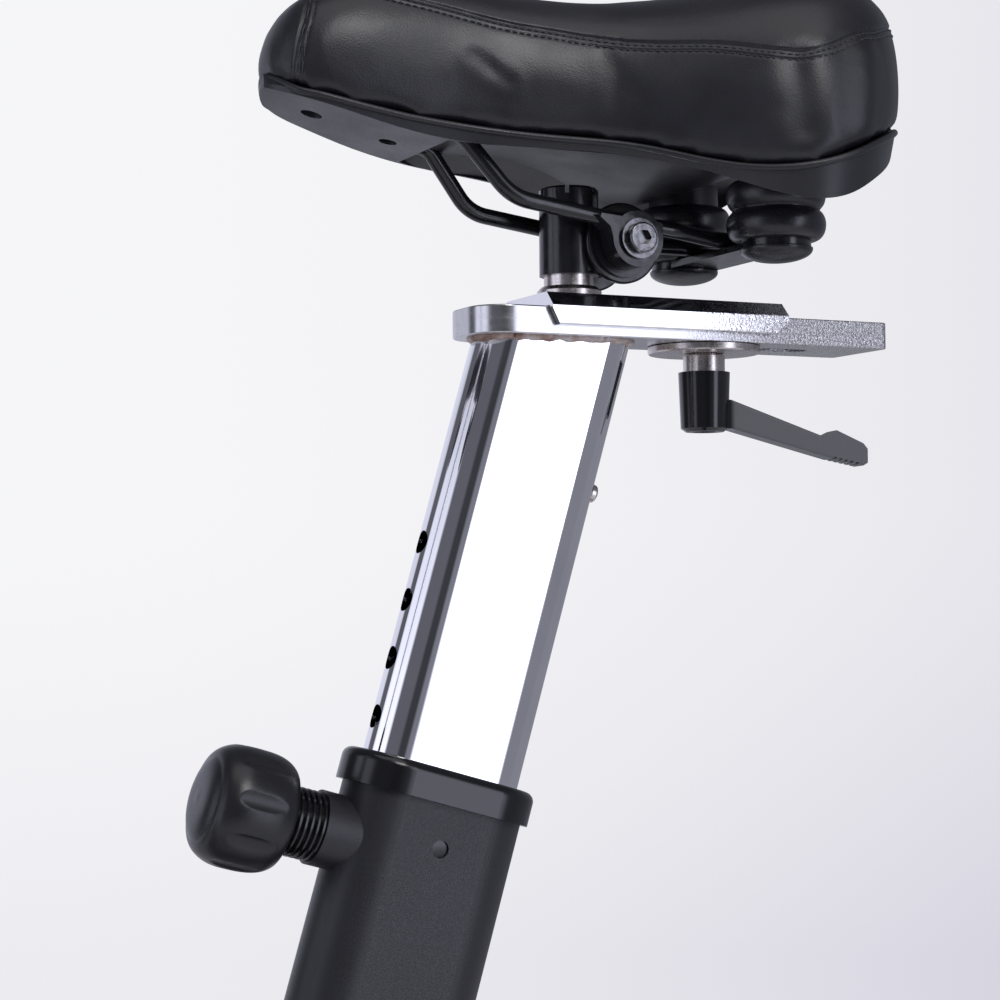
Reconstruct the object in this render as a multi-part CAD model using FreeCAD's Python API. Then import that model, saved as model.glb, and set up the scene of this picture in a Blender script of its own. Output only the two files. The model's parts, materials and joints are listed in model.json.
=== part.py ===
import FreeCAD, Part

import math
import os

from FreeCAD import Placement, Rotation
from FreeCAD import Vector as V

# An indoor exercise bike, in millimetres. The front is towards -X, the rider's right is +Y, up is +Z,
# and the origin is on the floor, midway between the flywheel's front and the rear stabilizer's back.

# ---- Driving dimensions ------------------------------------------------------------------------

HALF_LENGTH = 500.0
Z, Y = V(0, 0, 1), V(0, 1, 0)

# Flat-oval tubing: length and width of the section, and the wall.
FRAME_OVAL, FRAME_WIDTH, FRAME_WALL = 80.0, 40.0, 2.5
POST_OVAL, POST_WIDTH, POST_WALL = 70.0, 30.0, 2.0
POST_GAP = 0.3

# Seat post: its axis meets the underside of the slide plate at SEAT_TOP.
SEAT_TILT = 16.4
SEAT_TOP = V(290, 0, 790)
HOLE_PITCH = 25.0
HOLE_R = 5.0
SEAT_HOLES = 10
FIRST_SEAT_HOLE = 101.0
SEAT_STEPS = 5
SEAT_PIN_Z = -(FIRST_SEAT_HOLE + SEAT_STEPS * HOLE_PITCH)
SEAT_POST_END = -365.0
SEAT_COLLAR_TOP = -190.0
SEAT_TUBE_END = -537.0

# Handlebar post: HEAD_TOP is the centre of the head tube's collar.
HEAD_TILT = 10.0
HEAD_TOP = V(-150, 0, 745)
HEAD_PIN_Z = -36.0
HEAD_HOLES = 7
HEAD_STEPS = 3
HEAD_POST_TOP, HEAD_POST_END = 236.0, -138.0
HEAD_TUBE_END = -215.0
CROWN = V(90, 116, 12)

# Plastic collars on the two receiving tubes.
COLLAR_LIP, COLLAR_DEPTH, COLLAR_ROUND = 3.0, 14.0, 4.0
BUSHING_DEPTH = 100.0
STUD_Z, STUD_R, STUD_SINK = -222.0, 3.6, 1.2

# Stop screw in the seat post's rear wall.
STOP_Z, STOP_R, STOP_HEAD_R = -58.0, 2.45, 4.0

# Pull pins, on an axis that starts at the tube's middle.
PIN_OUT = FRAME_OVAL / 2
SOCKET_R, SOCKET_END, SOCKET_BORE = 15.5, PIN_OUT + 8.5, 9.05
BARREL_BORE, RIB_ROOT, RIB_R, RIB_PITCH = 8.0, 12.6, 14.4, 2.6
BARREL_START, BARREL_END, BARREL_CAP = PIN_OUT + 1.0, PIN_OUT + 33.0, 2.5
KNOB_R, KNOB_BACK, KNOB_FRONT, KNOB_HOLLOW = 25.0, PIN_OUT + 24.0, PIN_OUT + 58.5, PIN_OUT + 40.0
KNOB_LOBES, KNOB_CAP_R, KNOB_MOUTH_R = 9, 17.4, 16.0
PLUNGER_R, PLUNGER_END = 4.8, KNOB_FRONT - 8
COLLAR_START, COLLAR_END = PIN_OUT + 10.5, PIN_OUT + 12.5
SPRING_TURNS, SPRING_WIRE, SPRING_R = 5, 0.6, 6.4

# Slide plate and slider, in the level frame at SEAT_TOP.
PLATE_FRONT, PLATE_REAR, PLATE_HALF, PLATE_THICK = -42.6, 159.0, 22.0, 12.0
PLATE_NOSE_R, PLATE_TAIL_R = 16.0, 2.5
SLIDER_FRONT, SLIDER_REAR = -12.0, 104.5
SLIDER_HALF, SLIDER_TOP, SLIDER_SKIRT, SLIDER_BEVEL, SLIDER_ROUND = 25.5, 18.3, 4.0, 6.0, 1.1
STUD_X = 75.7
STUD_M = 5.0
LEVER_HUB = [(0, -38), (8.5, -38), (10.6, -36.5), (11.5, -11.6), (0, -11.6)]
LEVER_YAW, LEVER_REACH = -14.0, 74.0
SLIDE_FORWARD, SLIDE_BACK = 9.0, 47.0
STUB_X, STUB_R, STUB_TOP = 8.7, 11.0, 61.0

# Saddle clamp: the cross bolt's axis, and the rails that it grips.
BOLT_X, BOLT_Z, BOLT_R = 26.9, 41.5, 4.0
CLAMP_WALL, CLAMP_FOOT, CLAMP_HEAD, CLAMP_SLOTS = 1.9, 28.0, 66.0, 6
DISC_R, DISC_IN, DISC_OUT = 17.5, 12.6, 17.8
EAR_IN, EAR_OUT, EAR_R, EAR_TOP, EAR_FLARE = 18.1, 29.4, 12.0, 51.5, 5.5
RAIL_R, RAIL_Y = 3.5, 22.0
RAIL_BENDS = [9.0, 20.0, 20.0, 20.0, 12.0]

# Saddle stations: x, half width, underside of the cover, lower edge of the shell, crown.
SADDLE = [
    (-131.5, 5.0, 100.0, 98.0, 111.0),
    (-128.5, 13.0, 97.0, 95.5, 120.0),
    (-120.0, 21.5, 94.0, 92.0, 132.5),
    (-106.0, 26.0, 90.5, 88.0, 141.0),
    (-86.0, 29.0, 86.5, 82.5, 146.0),
    (-60.0, 32.5, 83.0, 77.5, 147.0),
    (-20.0, 43.0, 79.0, 75.0, 144.0),
    (15.0, 58.0, 75.0, 71.5, 144.0),
    (45.0, 81.0, 66.0, 61.5, 148.0),
    (75.0, 99.0, 66.0, 52.5, 155.0),
    (90.0, 101.0, 70.5, 54.5, 157.0),
    (105.0, 97.0, 77.0, 62.0, 158.0),
    (122.0, 83.5, 84.0, 72.0, 157.0),
    (138.0, 62.0, 90.0, 84.0, 153.0),
    (147.0, 47.0, 93.0, 89.0, 148.0),
    (151.5, 38.0, 97.0, 93.0, 140.0),
]
SHELL_INSET, SHELL_ROOF, SHELL_WALL = 2.5, 3.0, 3.5
SHELL_HOLES = [(-110, 92.5, 4.4), (-76, 86, 3.8)]
BELLY_SHARE, BELLY_BASE, BELLY_RISE = 0.62, 3.0, 0.065
ELASTOMER_X, ELASTOMER_Y, ELASTOMER_R, ELASTOMER_TOP = 89.0, 40.0, 21.5, 68.0
BRIDGE_LOW, BRIDGE_HIGH = 39.4, 42.3
CAP_R, CAP_RISE = 15.8, 5.6

# Drive train.
BB = V(100, 0, 300)
BB_R, BB_WALL, BB_HALF = 27.0, 5.5, 41.0
CRANK_LENGTH, CRANK_DROP = 170.0, 35.0
CRANK_PULLEY_R, WHEEL_PULLEY_R = 95.0, 32.0
BELT_Y, BELT_HALF, BELT_THICK, BELT_GAP = 75.0, 8.0, 3.0, 0.3
FLYWHEEL_R, RIM_DEPTH, RIM_HALF, WEB_HALF = 205.0, 52.0, 13.0, 6.0
FLYWHEEL = V(FLYWHEEL_R - HALF_LENGTH, 0, 290)
SHAFT_R = 10.0
SHAFT_FIT = 0.05
BEARING_R = 17.5
CRANK_IN, CRANK_OUT = 96.0, 109.0
SPINDLE_R, SPINDLE_LONG = 6.5, 84.0
PEDAL_IN, PEDAL_LONG, PEDAL_WIDE, PEDAL_HALF = CRANK_OUT + 4, 92.0, 88.0, 12.0
GUARD_IN, GUARD_OUT, GUARD_WALL = 58.0, 92.0, 2.5
GUARD_REAR_R, GUARD_FRONT_R, GUARD_BORE = 113.0, 52.0, 24.0

# Fork, stabilizers and feet.
LEG_TILT = 22.5
LEG_OVAL, LEG_WIDTH, LEG_Y = 50.0, 25.0, 42.5
CAP_DEPTH, CAP_WALL, CAP_END = 38.0, 3.0, 5.0
FRONT_STAB_X, REAR_STAB_X = -390.3, HALF_LENGTH - FRAME_OVAL / 2 - CAP_WALL
STAB_Z, STAB_HALF = 50.0, 245.0
FOOT_Y, FOOT_R = 188.0, 22.0
ROLLER_X, ROLLER_Y, ROLLER_Z, ROLLER_R, ROLLER_HALF = -465.0, 150.0, 33.0, 30.0, 11.0

# Brake: its rod points at the flywheel's centre, square to the main beam.
BEAM_START, BEAM_END = V(-172, 0, 548), V(100, 0, 300)
BRAKE_TRAVEL = 5.0
BRAKE_GAP = BRAKE_TRAVEL + 0.5
BRAKE_ROD_R, FELT_THICK, GUIDE_R = 5.0, 9.0, 13.0

# Handlebar: the bar's centre line, right half, from the middle outwards.
BAR_R, BAR_WALL, BAR_BEND = 14.0, 1.8, 45.0
BAR = [V(-168, 0, 1002), V(-168, 222, 1002), V(-318, 222, 1022), V(-392, 196, 1080)]
GRIP_THICK = 4.0

# ---- Tools -------------------------------------------------------------------------------------


def tilted(origin, degrees):
    """A frame at origin whose Z leans towards +X by that angle."""
    return Placement(origin, Rotation(Y, degrees))


SEAT = tilted(SEAT_TOP, SEAT_TILT)
HEAD = tilted(HEAD_TOP, HEAD_TILT)
LEVEL = Placement(SEAT_TOP, Rotation())
ALONG_Y = Rotation(V(1, 0, 0), -90)


def put(shape, frame):
    """A copy of shape, carried from its own frame into that one."""
    moved = shape.copy()
    moved.Placement = frame.multiply(shape.Placement)
    return moved


def mirrored(shape):
    """shape and its mirror image across the bike's middle plane."""
    return [shape, shape.mirror(V(0, 0, 0), Y)]


def fused(*shapes):
    """One shape from several."""
    return shapes[0].fuse(list(shapes[1:])).removeSplitter()


def bar(start, end, radius):
    """A round bar between two points."""
    return Part.makeCylinder(radius, (end - start).Length, start, end - start)


def y_bar(x, z, radius, y0, y1):
    """A round bar across the bike."""
    return bar(V(x, y0, z), V(x, y1, z), radius)


def ring(x, z, outer, inner, y0, y1):
    """A round sleeve across the bike."""
    return y_bar(x, z, outer, y0, y1).cut(y_bar(x, z, inner, y0 - 1, y1 + 1))


def block(x0, x1, y0, y1, z0, z1):
    """A box between two corners."""
    return Part.makeBox(x1 - x0, y1 - y0, z1 - z0, V(x0, y0, z0))


def oval(length, width):
    """The wire of a flat oval in the XY plane, long side along X."""
    r, half = width / 2, (length - width) / 2
    if half < 0:
        r, half = length / 2, 0
    a, b, c, d = V(-half, -r, 0), V(half, -r, 0), V(half, r, 0), V(-half, r, 0)
    return Part.Wire([
        Part.makeLine(a, b),
        Part.Arc(b, V(half + r, 0, 0), c).toShape(),
        Part.makeLine(c, d),
        Part.Arc(d, V(-half - r, 0, 0), a).toShape(),
    ])


def oval_bar(length, width, z0, z1):
    """A solid flat-oval bar along Z."""
    face = Part.Face(oval(length, width))
    face.translate(V(0, 0, z0))
    return face.extrude(V(0, 0, z1 - z0))


def oval_tube(length, width, wall, z0, z1):
    """A flat-oval tube along Z, open at both ends."""
    inner = oval_bar(length - 2 * wall, width - 2 * wall, z0 - 1, z1 + 1)
    return oval_bar(length, width, z0, z1).cut(inner)


def plate(points, y0, y1):
    """A flat piece from an outline of (x, z) points, between two values of y."""
    corners = [V(x, y0, z) for x, z in points]
    return Part.Face(Part.makePolygon(corners + corners[:1])).extrude(V(0, y1 - y0, 0))


def turned(points, frame=Placement()):
    """A solid of revolution about Z from an outline of (radius, z) points."""
    corners = [V(r, 0, z) for r, z in points]
    face = Part.Face(Part.makePolygon(corners + corners[:1]))
    return put(face.revolve(V(0, 0, 0), Z, 360), frame)


def rounded(shape, radius, where):
    """shape with a fillet on the edges that where() picks."""
    return shape.makeFillet(radius, [e for e in shape.Edges if where(e)])


def level_at(z):
    """Picks the edges that lie at one height."""
    return lambda e: all(abs(v.Z - z) < 1e-3 for v in e.Vertexes)


def upright(e):
    """Picks the straight edges that run along Z."""
    return len(e.Vertexes) == 2 and (e.Vertexes[1].Point - e.Vertexes[0].Point).cross(Z).Length < 1e-6


def smooth_turned(line, closing):
    """A solid of revolution about Z: a smooth curve through (radius, z) points, closed by straight edges."""
    curve = Part.BSplineCurve()
    curve.interpolate([V(r, 0, z) for r, z in line])
    corners = [V(r, 0, z) for r, z in (line[-1], *closing, line[0])]
    sides = [Part.makeLine(a, b) for a, b in zip(corners, corners[1:])]
    return Part.Face(Part.Wire([curve.toShape(), *sides])).revolve(V(0, 0, 0), Z, 360)


def swept(points, bends, profile):
    """profile, drawn about Z, swept along straight runs, with a tangent arc at each inner corner."""
    edges, here = [], points[0]
    for before, corner, after, bend in zip(points, points[1:], points[2:], bends):
        back, on = (before - corner).normalize(), (after - corner).normalize()
        half = back.getAngle(on) / 2
        reach = bend / math.tan(half)
        start, end = corner + back * reach, corner + on * reach
        middle = corner + (back + on).normalize() * (bend / math.sin(half) - bend)
        edges += [Part.makeLine(here, start), Part.Arc(start, middle, end).toShape()]
        here = end
    edges.append(Part.makeLine(here, points[-1]))
    facing = Placement(points[0], Rotation(Z, points[1] - points[0]))
    return Part.Wire(edges).makePipeShell([put(profile, facing)], True, False)


def round_wire(radius):
    return Part.Wire(Part.makeCircle(radius))


def flat_wire(x, y):
    """A rectangle about the origin."""
    a, b = x / 2, y / 2
    return Part.makePolygon([V(-a, -b, 0), V(a, -b, 0), V(a, b, 0), V(-a, b, 0), V(-a, -b, 0)])


def hull_wire(front_r, rear_r, y):
    """The outline round two circles, at the flywheel and at the crank, as a belt would run."""
    along = V(BB.x - FLYWHEEL.x, 0, BB.z - FLYWHEEL.z)
    unit = V(along).normalize()
    side = V(-unit.z, 0, unit.x)
    lean = math.asin((rear_r - front_r) / along.Length)
    up = side * math.cos(lean) - unit * math.sin(lean)
    down = side * -math.cos(lean) - unit * math.sin(lean)
    front, rear = V(FLYWHEEL.x, y, FLYWHEEL.z), V(BB.x, y, BB.z)
    return Part.Wire([
        Part.makeLine(front + up * front_r, rear + up * rear_r),
        Part.Arc(rear + up * rear_r, rear + unit * rear_r, rear + down * rear_r).toShape(),
        Part.makeLine(rear + down * rear_r, front + down * front_r),
        Part.Arc(front + down * front_r, front - unit * front_r, front + up * front_r).toShape(),
    ])


def hull_slab(front_r, rear_r, y0, y1):
    return Part.Face(hull_wire(front_r, rear_r, y0)).extrude(V(0, y1 - y0, 0))


def beam(start, end, length, width, wall):
    """An oval tube between two points of the middle plane, and the solid bar that fills it."""
    run = end - start
    frame = Placement(start, Rotation(Y, math.degrees(math.atan2(run.x, run.z))))
    tube = put(oval_tube(length, width, wall, 0, run.Length), frame)
    return tube, put(oval_bar(length, width, 0, run.Length), frame)


def save(name, *shapes):
    """Writes one node from every solid in shapes."""
    solids = [solid for shape in shapes for solid in shape.Solids]
    Part.makeCompound(solids).exportStep(f"parts/{name}.step")


# ---- Seat post and its slide -------------------------------------------------------------------


def post_holes(pin_z, count, steps):
    """The row of pin holes in a post's front wall; the pin stands in hole number steps."""
    half = POST_OVAL / 2
    first = pin_z + steps * HOLE_PITCH
    return [
        bar(V(-half - 5, 0, first - i * HOLE_PITCH), V(-half + 12, 0, first - i * HOLE_PITCH), HOLE_R)
        for i in range(count)
    ]


def seat_post():
    tube = oval_tube(POST_OVAL, POST_WIDTH, POST_WALL, SEAT_POST_END, 25)
    tube = tube.cut(post_holes(SEAT_PIN_Z, SEAT_HOLES, SEAT_STEPS))
    screw_hole = bar(V(POST_OVAL / 2 - 12, 0, STOP_Z), V(POST_OVAL / 2 + 5, 0, STOP_Z), STOP_R + SHAFT_FIT)
    above = put(block(-100, 100, -40, 40, 0, 60), LEVEL)
    return put(tube.cut(screw_hole), SEAT).cut(above)


def seat_post_weld():
    bead = put(oval_bar(POST_OVAL + 8, POST_WIDTH + 8, -30, 30), SEAT)
    band = put(block(-100, 100, -40, 40, -4.5, 0), LEVEL)
    return bead.common(band).cut(put(oval_bar(POST_OVAL, POST_WIDTH, -60, 60), SEAT))


def post_stop_screw():
    wall = POST_OVAL / 2
    shank = bar(V(wall - 9, 0, STOP_Z), V(wall + 0.2, 0, STOP_Z), STOP_R)
    head = bar(V(wall + 0.1, 0, STOP_Z), V(wall + 3, 0, STOP_Z), STOP_HEAD_R)
    head = rounded(head, 1.2, lambda e: e.Closed and e.Vertexes[0].X > wall + 2.9)
    return put(fused(shank, head), SEAT)


def slide_plate():
    base = block(PLATE_FRONT, PLATE_REAR, -PLATE_HALF, PLATE_HALF, 0, PLATE_THICK)
    base = rounded(base, PLATE_NOSE_R, lambda e: upright(e) and e.Vertexes[0].X < 0)
    base = rounded(base, PLATE_TAIL_R, lambda e: upright(e) and e.Vertexes[0].X > PLATE_REAR - 1)
    base = rounded(base, 0.7, lambda e: level_at(PLATE_THICK)(e) or level_at(0)(e))
    slot_mid = STUD_X + (SLIDE_BACK - SLIDE_FORWARD) / 2
    slot = oval_bar(SLIDE_BACK + SLIDE_FORWARD + 2 * STUD_M + 2, 2 * STUD_M + 1.2, -1, PLATE_THICK + 1)
    slot.translate(V(slot_mid, 0, 0))
    return put(base.cut(slot), LEVEL)


def slider_channel():
    top, low, half, bevel = SLIDER_TOP, SLIDER_SKIRT, SLIDER_HALF, SLIDER_BEVEL
    inner, roof = PLATE_HALF + 0.4, PLATE_THICK + POST_GAP
    section = [
        (-half, low), (-half, top - bevel), (bevel - half, top), (half - bevel, top),
        (half, top - bevel), (half, low), (inner, low), (inner, roof), (-inner, roof), (-inner, low),
    ]
    corners = [V(SLIDER_FRONT, y, z) for y, z in section]
    body = Part.Face(Part.makePolygon(corners + corners[:1])).extrude(V(SLIDER_REAR - SLIDER_FRONT, 0, 0))
    body = rounded(body, SLIDER_ROUND, lambda e: all(abs(abs(v.Y) - half) < 1e-3 for v in e.Vertexes)
                   and e.Length > SLIDER_REAR - SLIDER_FRONT - 1)
    tail = [(SLIDER_REAR - 8, low - 1), (SLIDER_REAR + 1, low - 1), (SLIDER_REAR + 1, 11)]
    nose = [(SLIDER_FRONT - 1, low - 1), (SLIDER_FRONT + 4, low - 1), (SLIDER_FRONT - 1, 13)]
    for corner in (tail, nose):
        body = body.cut(plate(corner, -40, 40))
    thread = bar(V(STUD_X, 0, 0), V(STUD_X, 0, 30), STUD_M + SHAFT_FIT)
    return put(body.cut(thread), LEVEL)


def saddle_stub():
    low = SLIDER_TOP
    foot = turned([(0, low), (14, low), (14, low + 3), (12.2, low + 4.8), (STUB_R, low + 4.8),
                   (STUB_R, STUB_TOP - 1), (STUB_R - 1, STUB_TOP), (0, STUB_TOP)])
    foot.translate(V(STUB_X, 0, 0))
    return put(foot, LEVEL)


def clamp_washer():
    washer = turned([(STUD_M + 0.5, -3.4), (24.4, -3.4), (25, -2.8), (25, -0.4), (STUD_M + 0.5, -0.4)])
    washer.translate(V(STUD_X, 0, 0))
    return put(washer, LEVEL)


def clamp_lever():
    """A ratchet lever: a tapered hub, a drooping arm, and a thumb rest at its end."""
    hub = turned(LEVER_HUB)
    outline = [
        (0, -23.5), (11, -24.0), (53.5, -40.0), (59.5, -37.2), (72, -43.0), (LEVER_REACH, -45.5),
        (LEVER_REACH, -51.7), (72, -53.0), (57, -49.8), (11, -36.8), (0, -36.5),
    ]
    arm = rounded(plate(outline, -6.5, 6.5), 1.0, lambda e: e.Length > 30)
    slope = (53.0 - 49.8) / (72 - 57)
    ridges = [block(x, x + 1.3, -9, 9, -56, -49.0 - slope * (x - 57)) for x in (58, 60.6, 63.2, 65.8, 68.4)]
    lever = fused(hub, arm).cut(ridges)
    screw_seat = bar(V(0, 0, -39), V(0, 0, -33.8), 5.2)
    insert = bar(V(0, 0, -18), V(0, 0, -11), 7.6)
    bore = bar(V(0, 0, -35), V(0, 0, -10), 3.2)
    lever = lever.cut([screw_seat, insert, bore])
    lever.rotate(V(0, 0, 0), Z, LEVER_YAW)
    lever.translate(V(STUD_X, 0, 0))
    return put(lever, LEVEL)


def lever_stud():
    """The lever's steel insert with its threaded stud, and the screw that holds the lever on it."""
    top = SLIDER_TOP - 0.5
    stud = turned([(0, top), (0, -17.8), (7.5, -17.8), (7.5, -11.5), (9.3, -11.5), (9.3, -4.4),
                   (8.6, -3.6), (STUD_M, -3.6), (STUD_M, top - 0.8), (STUD_M - 0.8, top)])
    screw = turned([(0, -37.4), (3.9, -37.4), (4.9, -36.6), (4.9, -34), (3, -34), (3, -18), (0, -18)])
    slot = block(-0.6, 0.6, -6, 6, -38, -36.2)
    both = [stud, screw.cut(slot)]
    for piece in both:
        piece.translate(V(STUD_X, 0, 0))
    return [put(piece, LEVEL) for piece in both]


# ---- Saddle clamp and saddle -------------------------------------------------------------------


def clamp_bracket():
    """The centre of the saddle clamp: a sleeve round the stub, two cheeks, and two grip discs."""
    outer = STUB_R + CLAMP_WALL
    sleeve = turned([(STUB_R + 0.08, CLAMP_FOOT), (outer, CLAMP_FOOT), (outer, CLAMP_HEAD - 1),
                     (outer - 1, CLAMP_HEAD), (STUB_R + 0.08, CLAMP_HEAD)])
    sleeve.translate(V(STUB_X, 0, 0))
    slots = [block(STUB_X - 20, STUB_X + 20, -0.9, 0.9, CLAMP_HEAD - 3.5, CLAMP_HEAD + 1)]
    for i in range(1, CLAMP_SLOTS // 2):
        slots.append(slots[0].copy())
        slots[i].rotate(V(STUB_X, 0, 0), Z, 360 / CLAMP_SLOTS * i)
    core = bar(V(STUB_X, 0, 0), V(STUB_X, 0, 90), STUB_R + 0.5)
    cheek = fused(block(STUB_X, BOLT_X, 8.0, DISC_IN, BOLT_Z - 12, BOLT_Z + 12),
                  y_bar(BOLT_X, BOLT_Z, 12.0, 8.0, DISC_IN))
    disc = fused(y_bar(BOLT_X, BOLT_Z, DISC_R, DISC_IN, DISC_OUT - 1.6),
                 ring(BOLT_X, BOLT_Z, DISC_R - 2.4, 9.0, DISC_IN + 1, DISC_OUT))
    disc = rounded(disc, 1.0, lambda e: abs(e.Length - 2 * math.pi * DISC_R) < 0.1)
    cheeks = mirrored(fused(cheek, disc).cut(core))
    clear = y_bar(BOLT_X, BOLT_Z, BOLT_R + 0.06, -40, 40)
    return put(fused(sleeve, *cheeks).cut([clear, *slots]), LEVEL)


def clamp_bolt():
    """The cross bolt with its socket head on the rider's left, and its nut on the right."""
    head = y_bar(BOLT_X, BOLT_Z, 6.5, -EAR_OUT - 5.4, -EAR_OUT - 1.7)
    head = rounded(head, 0.8, lambda e: abs(e.Length - 13 * math.pi) < 0.1)
    flange = y_bar(BOLT_X, BOLT_Z, 8.6, -EAR_OUT - 1.8, -EAR_OUT - 0.15)
    shank = y_bar(BOLT_X, BOLT_Z, BOLT_R, -EAR_OUT - 1, EAR_OUT + 8.5)
    socket = hexagon(BOLT_X, BOLT_Z, 6.0, -EAR_OUT - 6, -EAR_OUT - 2.4)
    nut = hexagon(BOLT_X, BOLT_Z, 13.0, EAR_OUT + 0.15, EAR_OUT + 6.6)
    nut = nut.cut(y_bar(BOLT_X, BOLT_Z, BOLT_R, 0, 60))
    return [put(fused(flange, head, shank).cut(socket), LEVEL), put(nut, LEVEL)]


def hexagon(x, z, flats, y0, y1):
    """A hexagonal prism across the bike."""
    r = flats / math.sqrt(3)
    angles = [math.radians(60 * i) for i in range(6)]
    return plate([(x + r * math.cos(a), z + r * math.sin(a)) for a in angles], y0, y1)


def rail_points(side):
    """One rail's centre line, from its nose socket to its weld on the bridge."""
    return [
        V(-64, side * 15.9, 83.7), V(-50, side * 17.5, 82.5), V(-29, side * RAIL_Y, 56.8),
        V(14, side * RAIL_Y, 50.8), V(50, side * RAIL_Y, 47.2),
        V(72, side * 14, 45.9), V(101, side * 13.5, 45.9),
    ]


def saddle_rails():
    """Both rails, and the bridge plate across the elastomers that they are welded to."""
    rails = [swept(rail_points(side), RAIL_BENDS, round_wire(RAIL_R)) for side in (-1, 1)]
    bridge = block(77, 101, -ELASTOMER_Y, ELASTOMER_Y, BRIDGE_LOW, BRIDGE_HIGH)
    end = bar(V(ELASTOMER_X, ELASTOMER_Y, BRIDGE_LOW), V(ELASTOMER_X, ELASTOMER_Y, BRIDGE_HIGH), 15)
    bridge = fused(bridge, *mirrored(end))
    return [put(shape, LEVEL) for shape in (*rails, bridge)]


def clamp_ears():
    """Two forged ears: each holds a rail in a groove beside its grip disc."""
    front, rear = BOLT_X - EAR_R, BOLT_X + EAR_R
    flared = plate([(front, BOLT_Z), (rear, BOLT_Z), (rear, EAR_TOP - 3.5), (rear - 1, EAR_TOP - 2.5),
                    (front - EAR_FLARE, EAR_TOP), (front - EAR_FLARE - 0.5, EAR_TOP - 1.6),
                    (front - 1.2, BOLT_Z + 4.5)], EAR_IN, EAR_OUT)
    body = fused(y_bar(BOLT_X, BOLT_Z, EAR_R, EAR_IN, EAR_OUT), flared)
    ahead, a, b = rail_points(1)[2:5]
    run = (b - a).normalize()
    groove = fused(bar(a, b + run * 20, RAIL_R + 0.05), bar(ahead, a, RAIL_R + 0.08),
                   Part.makeSphere(RAIL_R + 0.08, a))
    slot = groove.copy()
    slot.translate(V(0, 0, 1.0))
    over = plate([(a.x - 20, a.z + 2), (b.x + 20, b.z - 2), (b.x + 20, 70), (a.x - 20, 70)],
                 EAR_IN - 1, RAIL_Y + RAIL_R + 0.05)
    bore = y_bar(BOLT_X, BOLT_Z, BOLT_R + 0.3, 0, 60)
    ear = body.cut([groove, slot, over, bore])
    return [put(piece, LEVEL) for piece in mirrored(ear)]


def saddle_section(x, half, low, high):
    """A section across the saddle: crowned above, and a shallow hollow below."""
    rise = high - low
    top = Part.BSplineCurve()
    top.interpolate([
        V(x, half - 2, low), V(x, half, low + 0.35 * rise), V(x, 0.86 * half, low + 0.78 * rise),
        V(x, 0.5 * half, low + 0.96 * rise), V(x, 0, high), V(x, -0.5 * half, low + 0.96 * rise),
        V(x, -0.86 * half, low + 0.78 * rise), V(x, -half, low + 0.35 * rise), V(x, 2 - half, low),
    ])
    hollow = Part.makePolygon([V(x, 2 - half, low), *belly_points(x, half - 2, low), V(x, half - 2, low)])
    return Part.Wire([top.toShape(), *hollow.Edges])


def belly_points(x, edge, low):
    """The two inner corners of the saddle's hollow underside, left first."""
    inner, raised = BELLY_SHARE * edge, low + BELLY_BASE + BELLY_RISE * edge
    return [V(x, -inner, raised), V(x, inner, raised)]


def saddle_cushion():
    wires = [saddle_section(x, half, low, crown) for x, half, low, skirt, crown in SADDLE]
    return put(Part.makeLoft(wires, True, False), LEVEL)


def tray_section(x, half, low, skirt, inset, drop):
    """A section of the shell: its foot at skirt, and its roof under the cushion's hollow."""
    edge = half - inset
    left, right = belly_points(x, edge, low - drop)
    foot = 0.95 * edge
    corners = [V(x, -edge, low - drop), left, right, V(x, edge, low - drop),
               V(x, foot, skirt), V(x, -foot, skirt)]
    return Part.makePolygon(corners + corners[:1])


def saddle_shell():
    """The moulded base: a rimmed tray under the cushion, with the rails' sockets in its nose."""
    outer = [tray_section(x, half, low + 1, skirt, SHELL_INSET, 0) for x, half, low, skirt, crown in SADDLE]
    inner = [tray_section(x, half, low, skirt - 12, SHELL_INSET + SHELL_WALL, SHELL_ROOF)
             for x, half, low, skirt, crown in SADDLE[5:-2]]
    body = Part.makeLoft(outer, True, False).cut(Part.makeLoft(inner, True, False))
    boss = bar(V(ELASTOMER_X, ELASTOMER_Y, ELASTOMER_TOP + 0.2), V(ELASTOMER_X, ELASTOMER_Y, 78), 16)
    holes = [bar(V(x, 0, 60), V(x, 0, z), r) for x, z, r in SHELL_HOLES]
    sockets = [room for side in (-1, 1) for room in rail_room(side)]
    shell = put(fused(body, *mirrored(boss)).cut([*sockets, *holes]), LEVEL)
    return largest(shell.cut(saddle_cushion()))


def rail_room(side):
    """Room round a rail where it enters the nose, so that the shell can dip on its elastomers."""
    inner, bend, lower = rail_points(side)[:3]
    back = (inner - bend).normalize() * 1.0
    down = (lower - bend).normalize() * 16
    clear = RAIL_R + 0.9
    return [bar(inner + back, bend, clear), Part.makeSphere(clear, bend), bar(bend, bend + down, clear)]


def elastomer_springs():
    """Two stacks of two rubber rings, between the bridge and the shell."""
    low, waist, top = BRIDGE_HIGH, 55.6, ELASTOMER_TOP
    r, neck, bore = ELASTOMER_R, ELASTOMER_R - 3.5, 5
    lower = smooth_turned([(r - 5, low), (r - 1.6, low + 1.8), (r, low + 6), (r - 1.2, waist - 2),
                           (neck, waist)], [(bore, waist), (bore, low)])
    upper = smooth_turned([(neck, waist), (r - 1.2, waist + 1.8), (r, waist + 6), (r - 0.8, top - 2),
                           (r - 3, top)], [(bore, top), (bore, waist)])
    return [stack_at(fused(lower, upper), side) for side in (-1, 1)]


def elastomer_caps():
    """A domed plastic nut under each stack."""
    base = BRIDGE_LOW - 0.7
    angles = [math.radians(15 * i) for i in range(7)]
    dome = [(CAP_R * math.sin(a), base - CAP_RISE * math.cos(a)) for a in angles]
    cap = smooth_turned(dome, [(CAP_R, BRIDGE_LOW), (0, BRIDGE_LOW)])
    return [stack_at(cap, side) for side in (-1, 1)]


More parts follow.
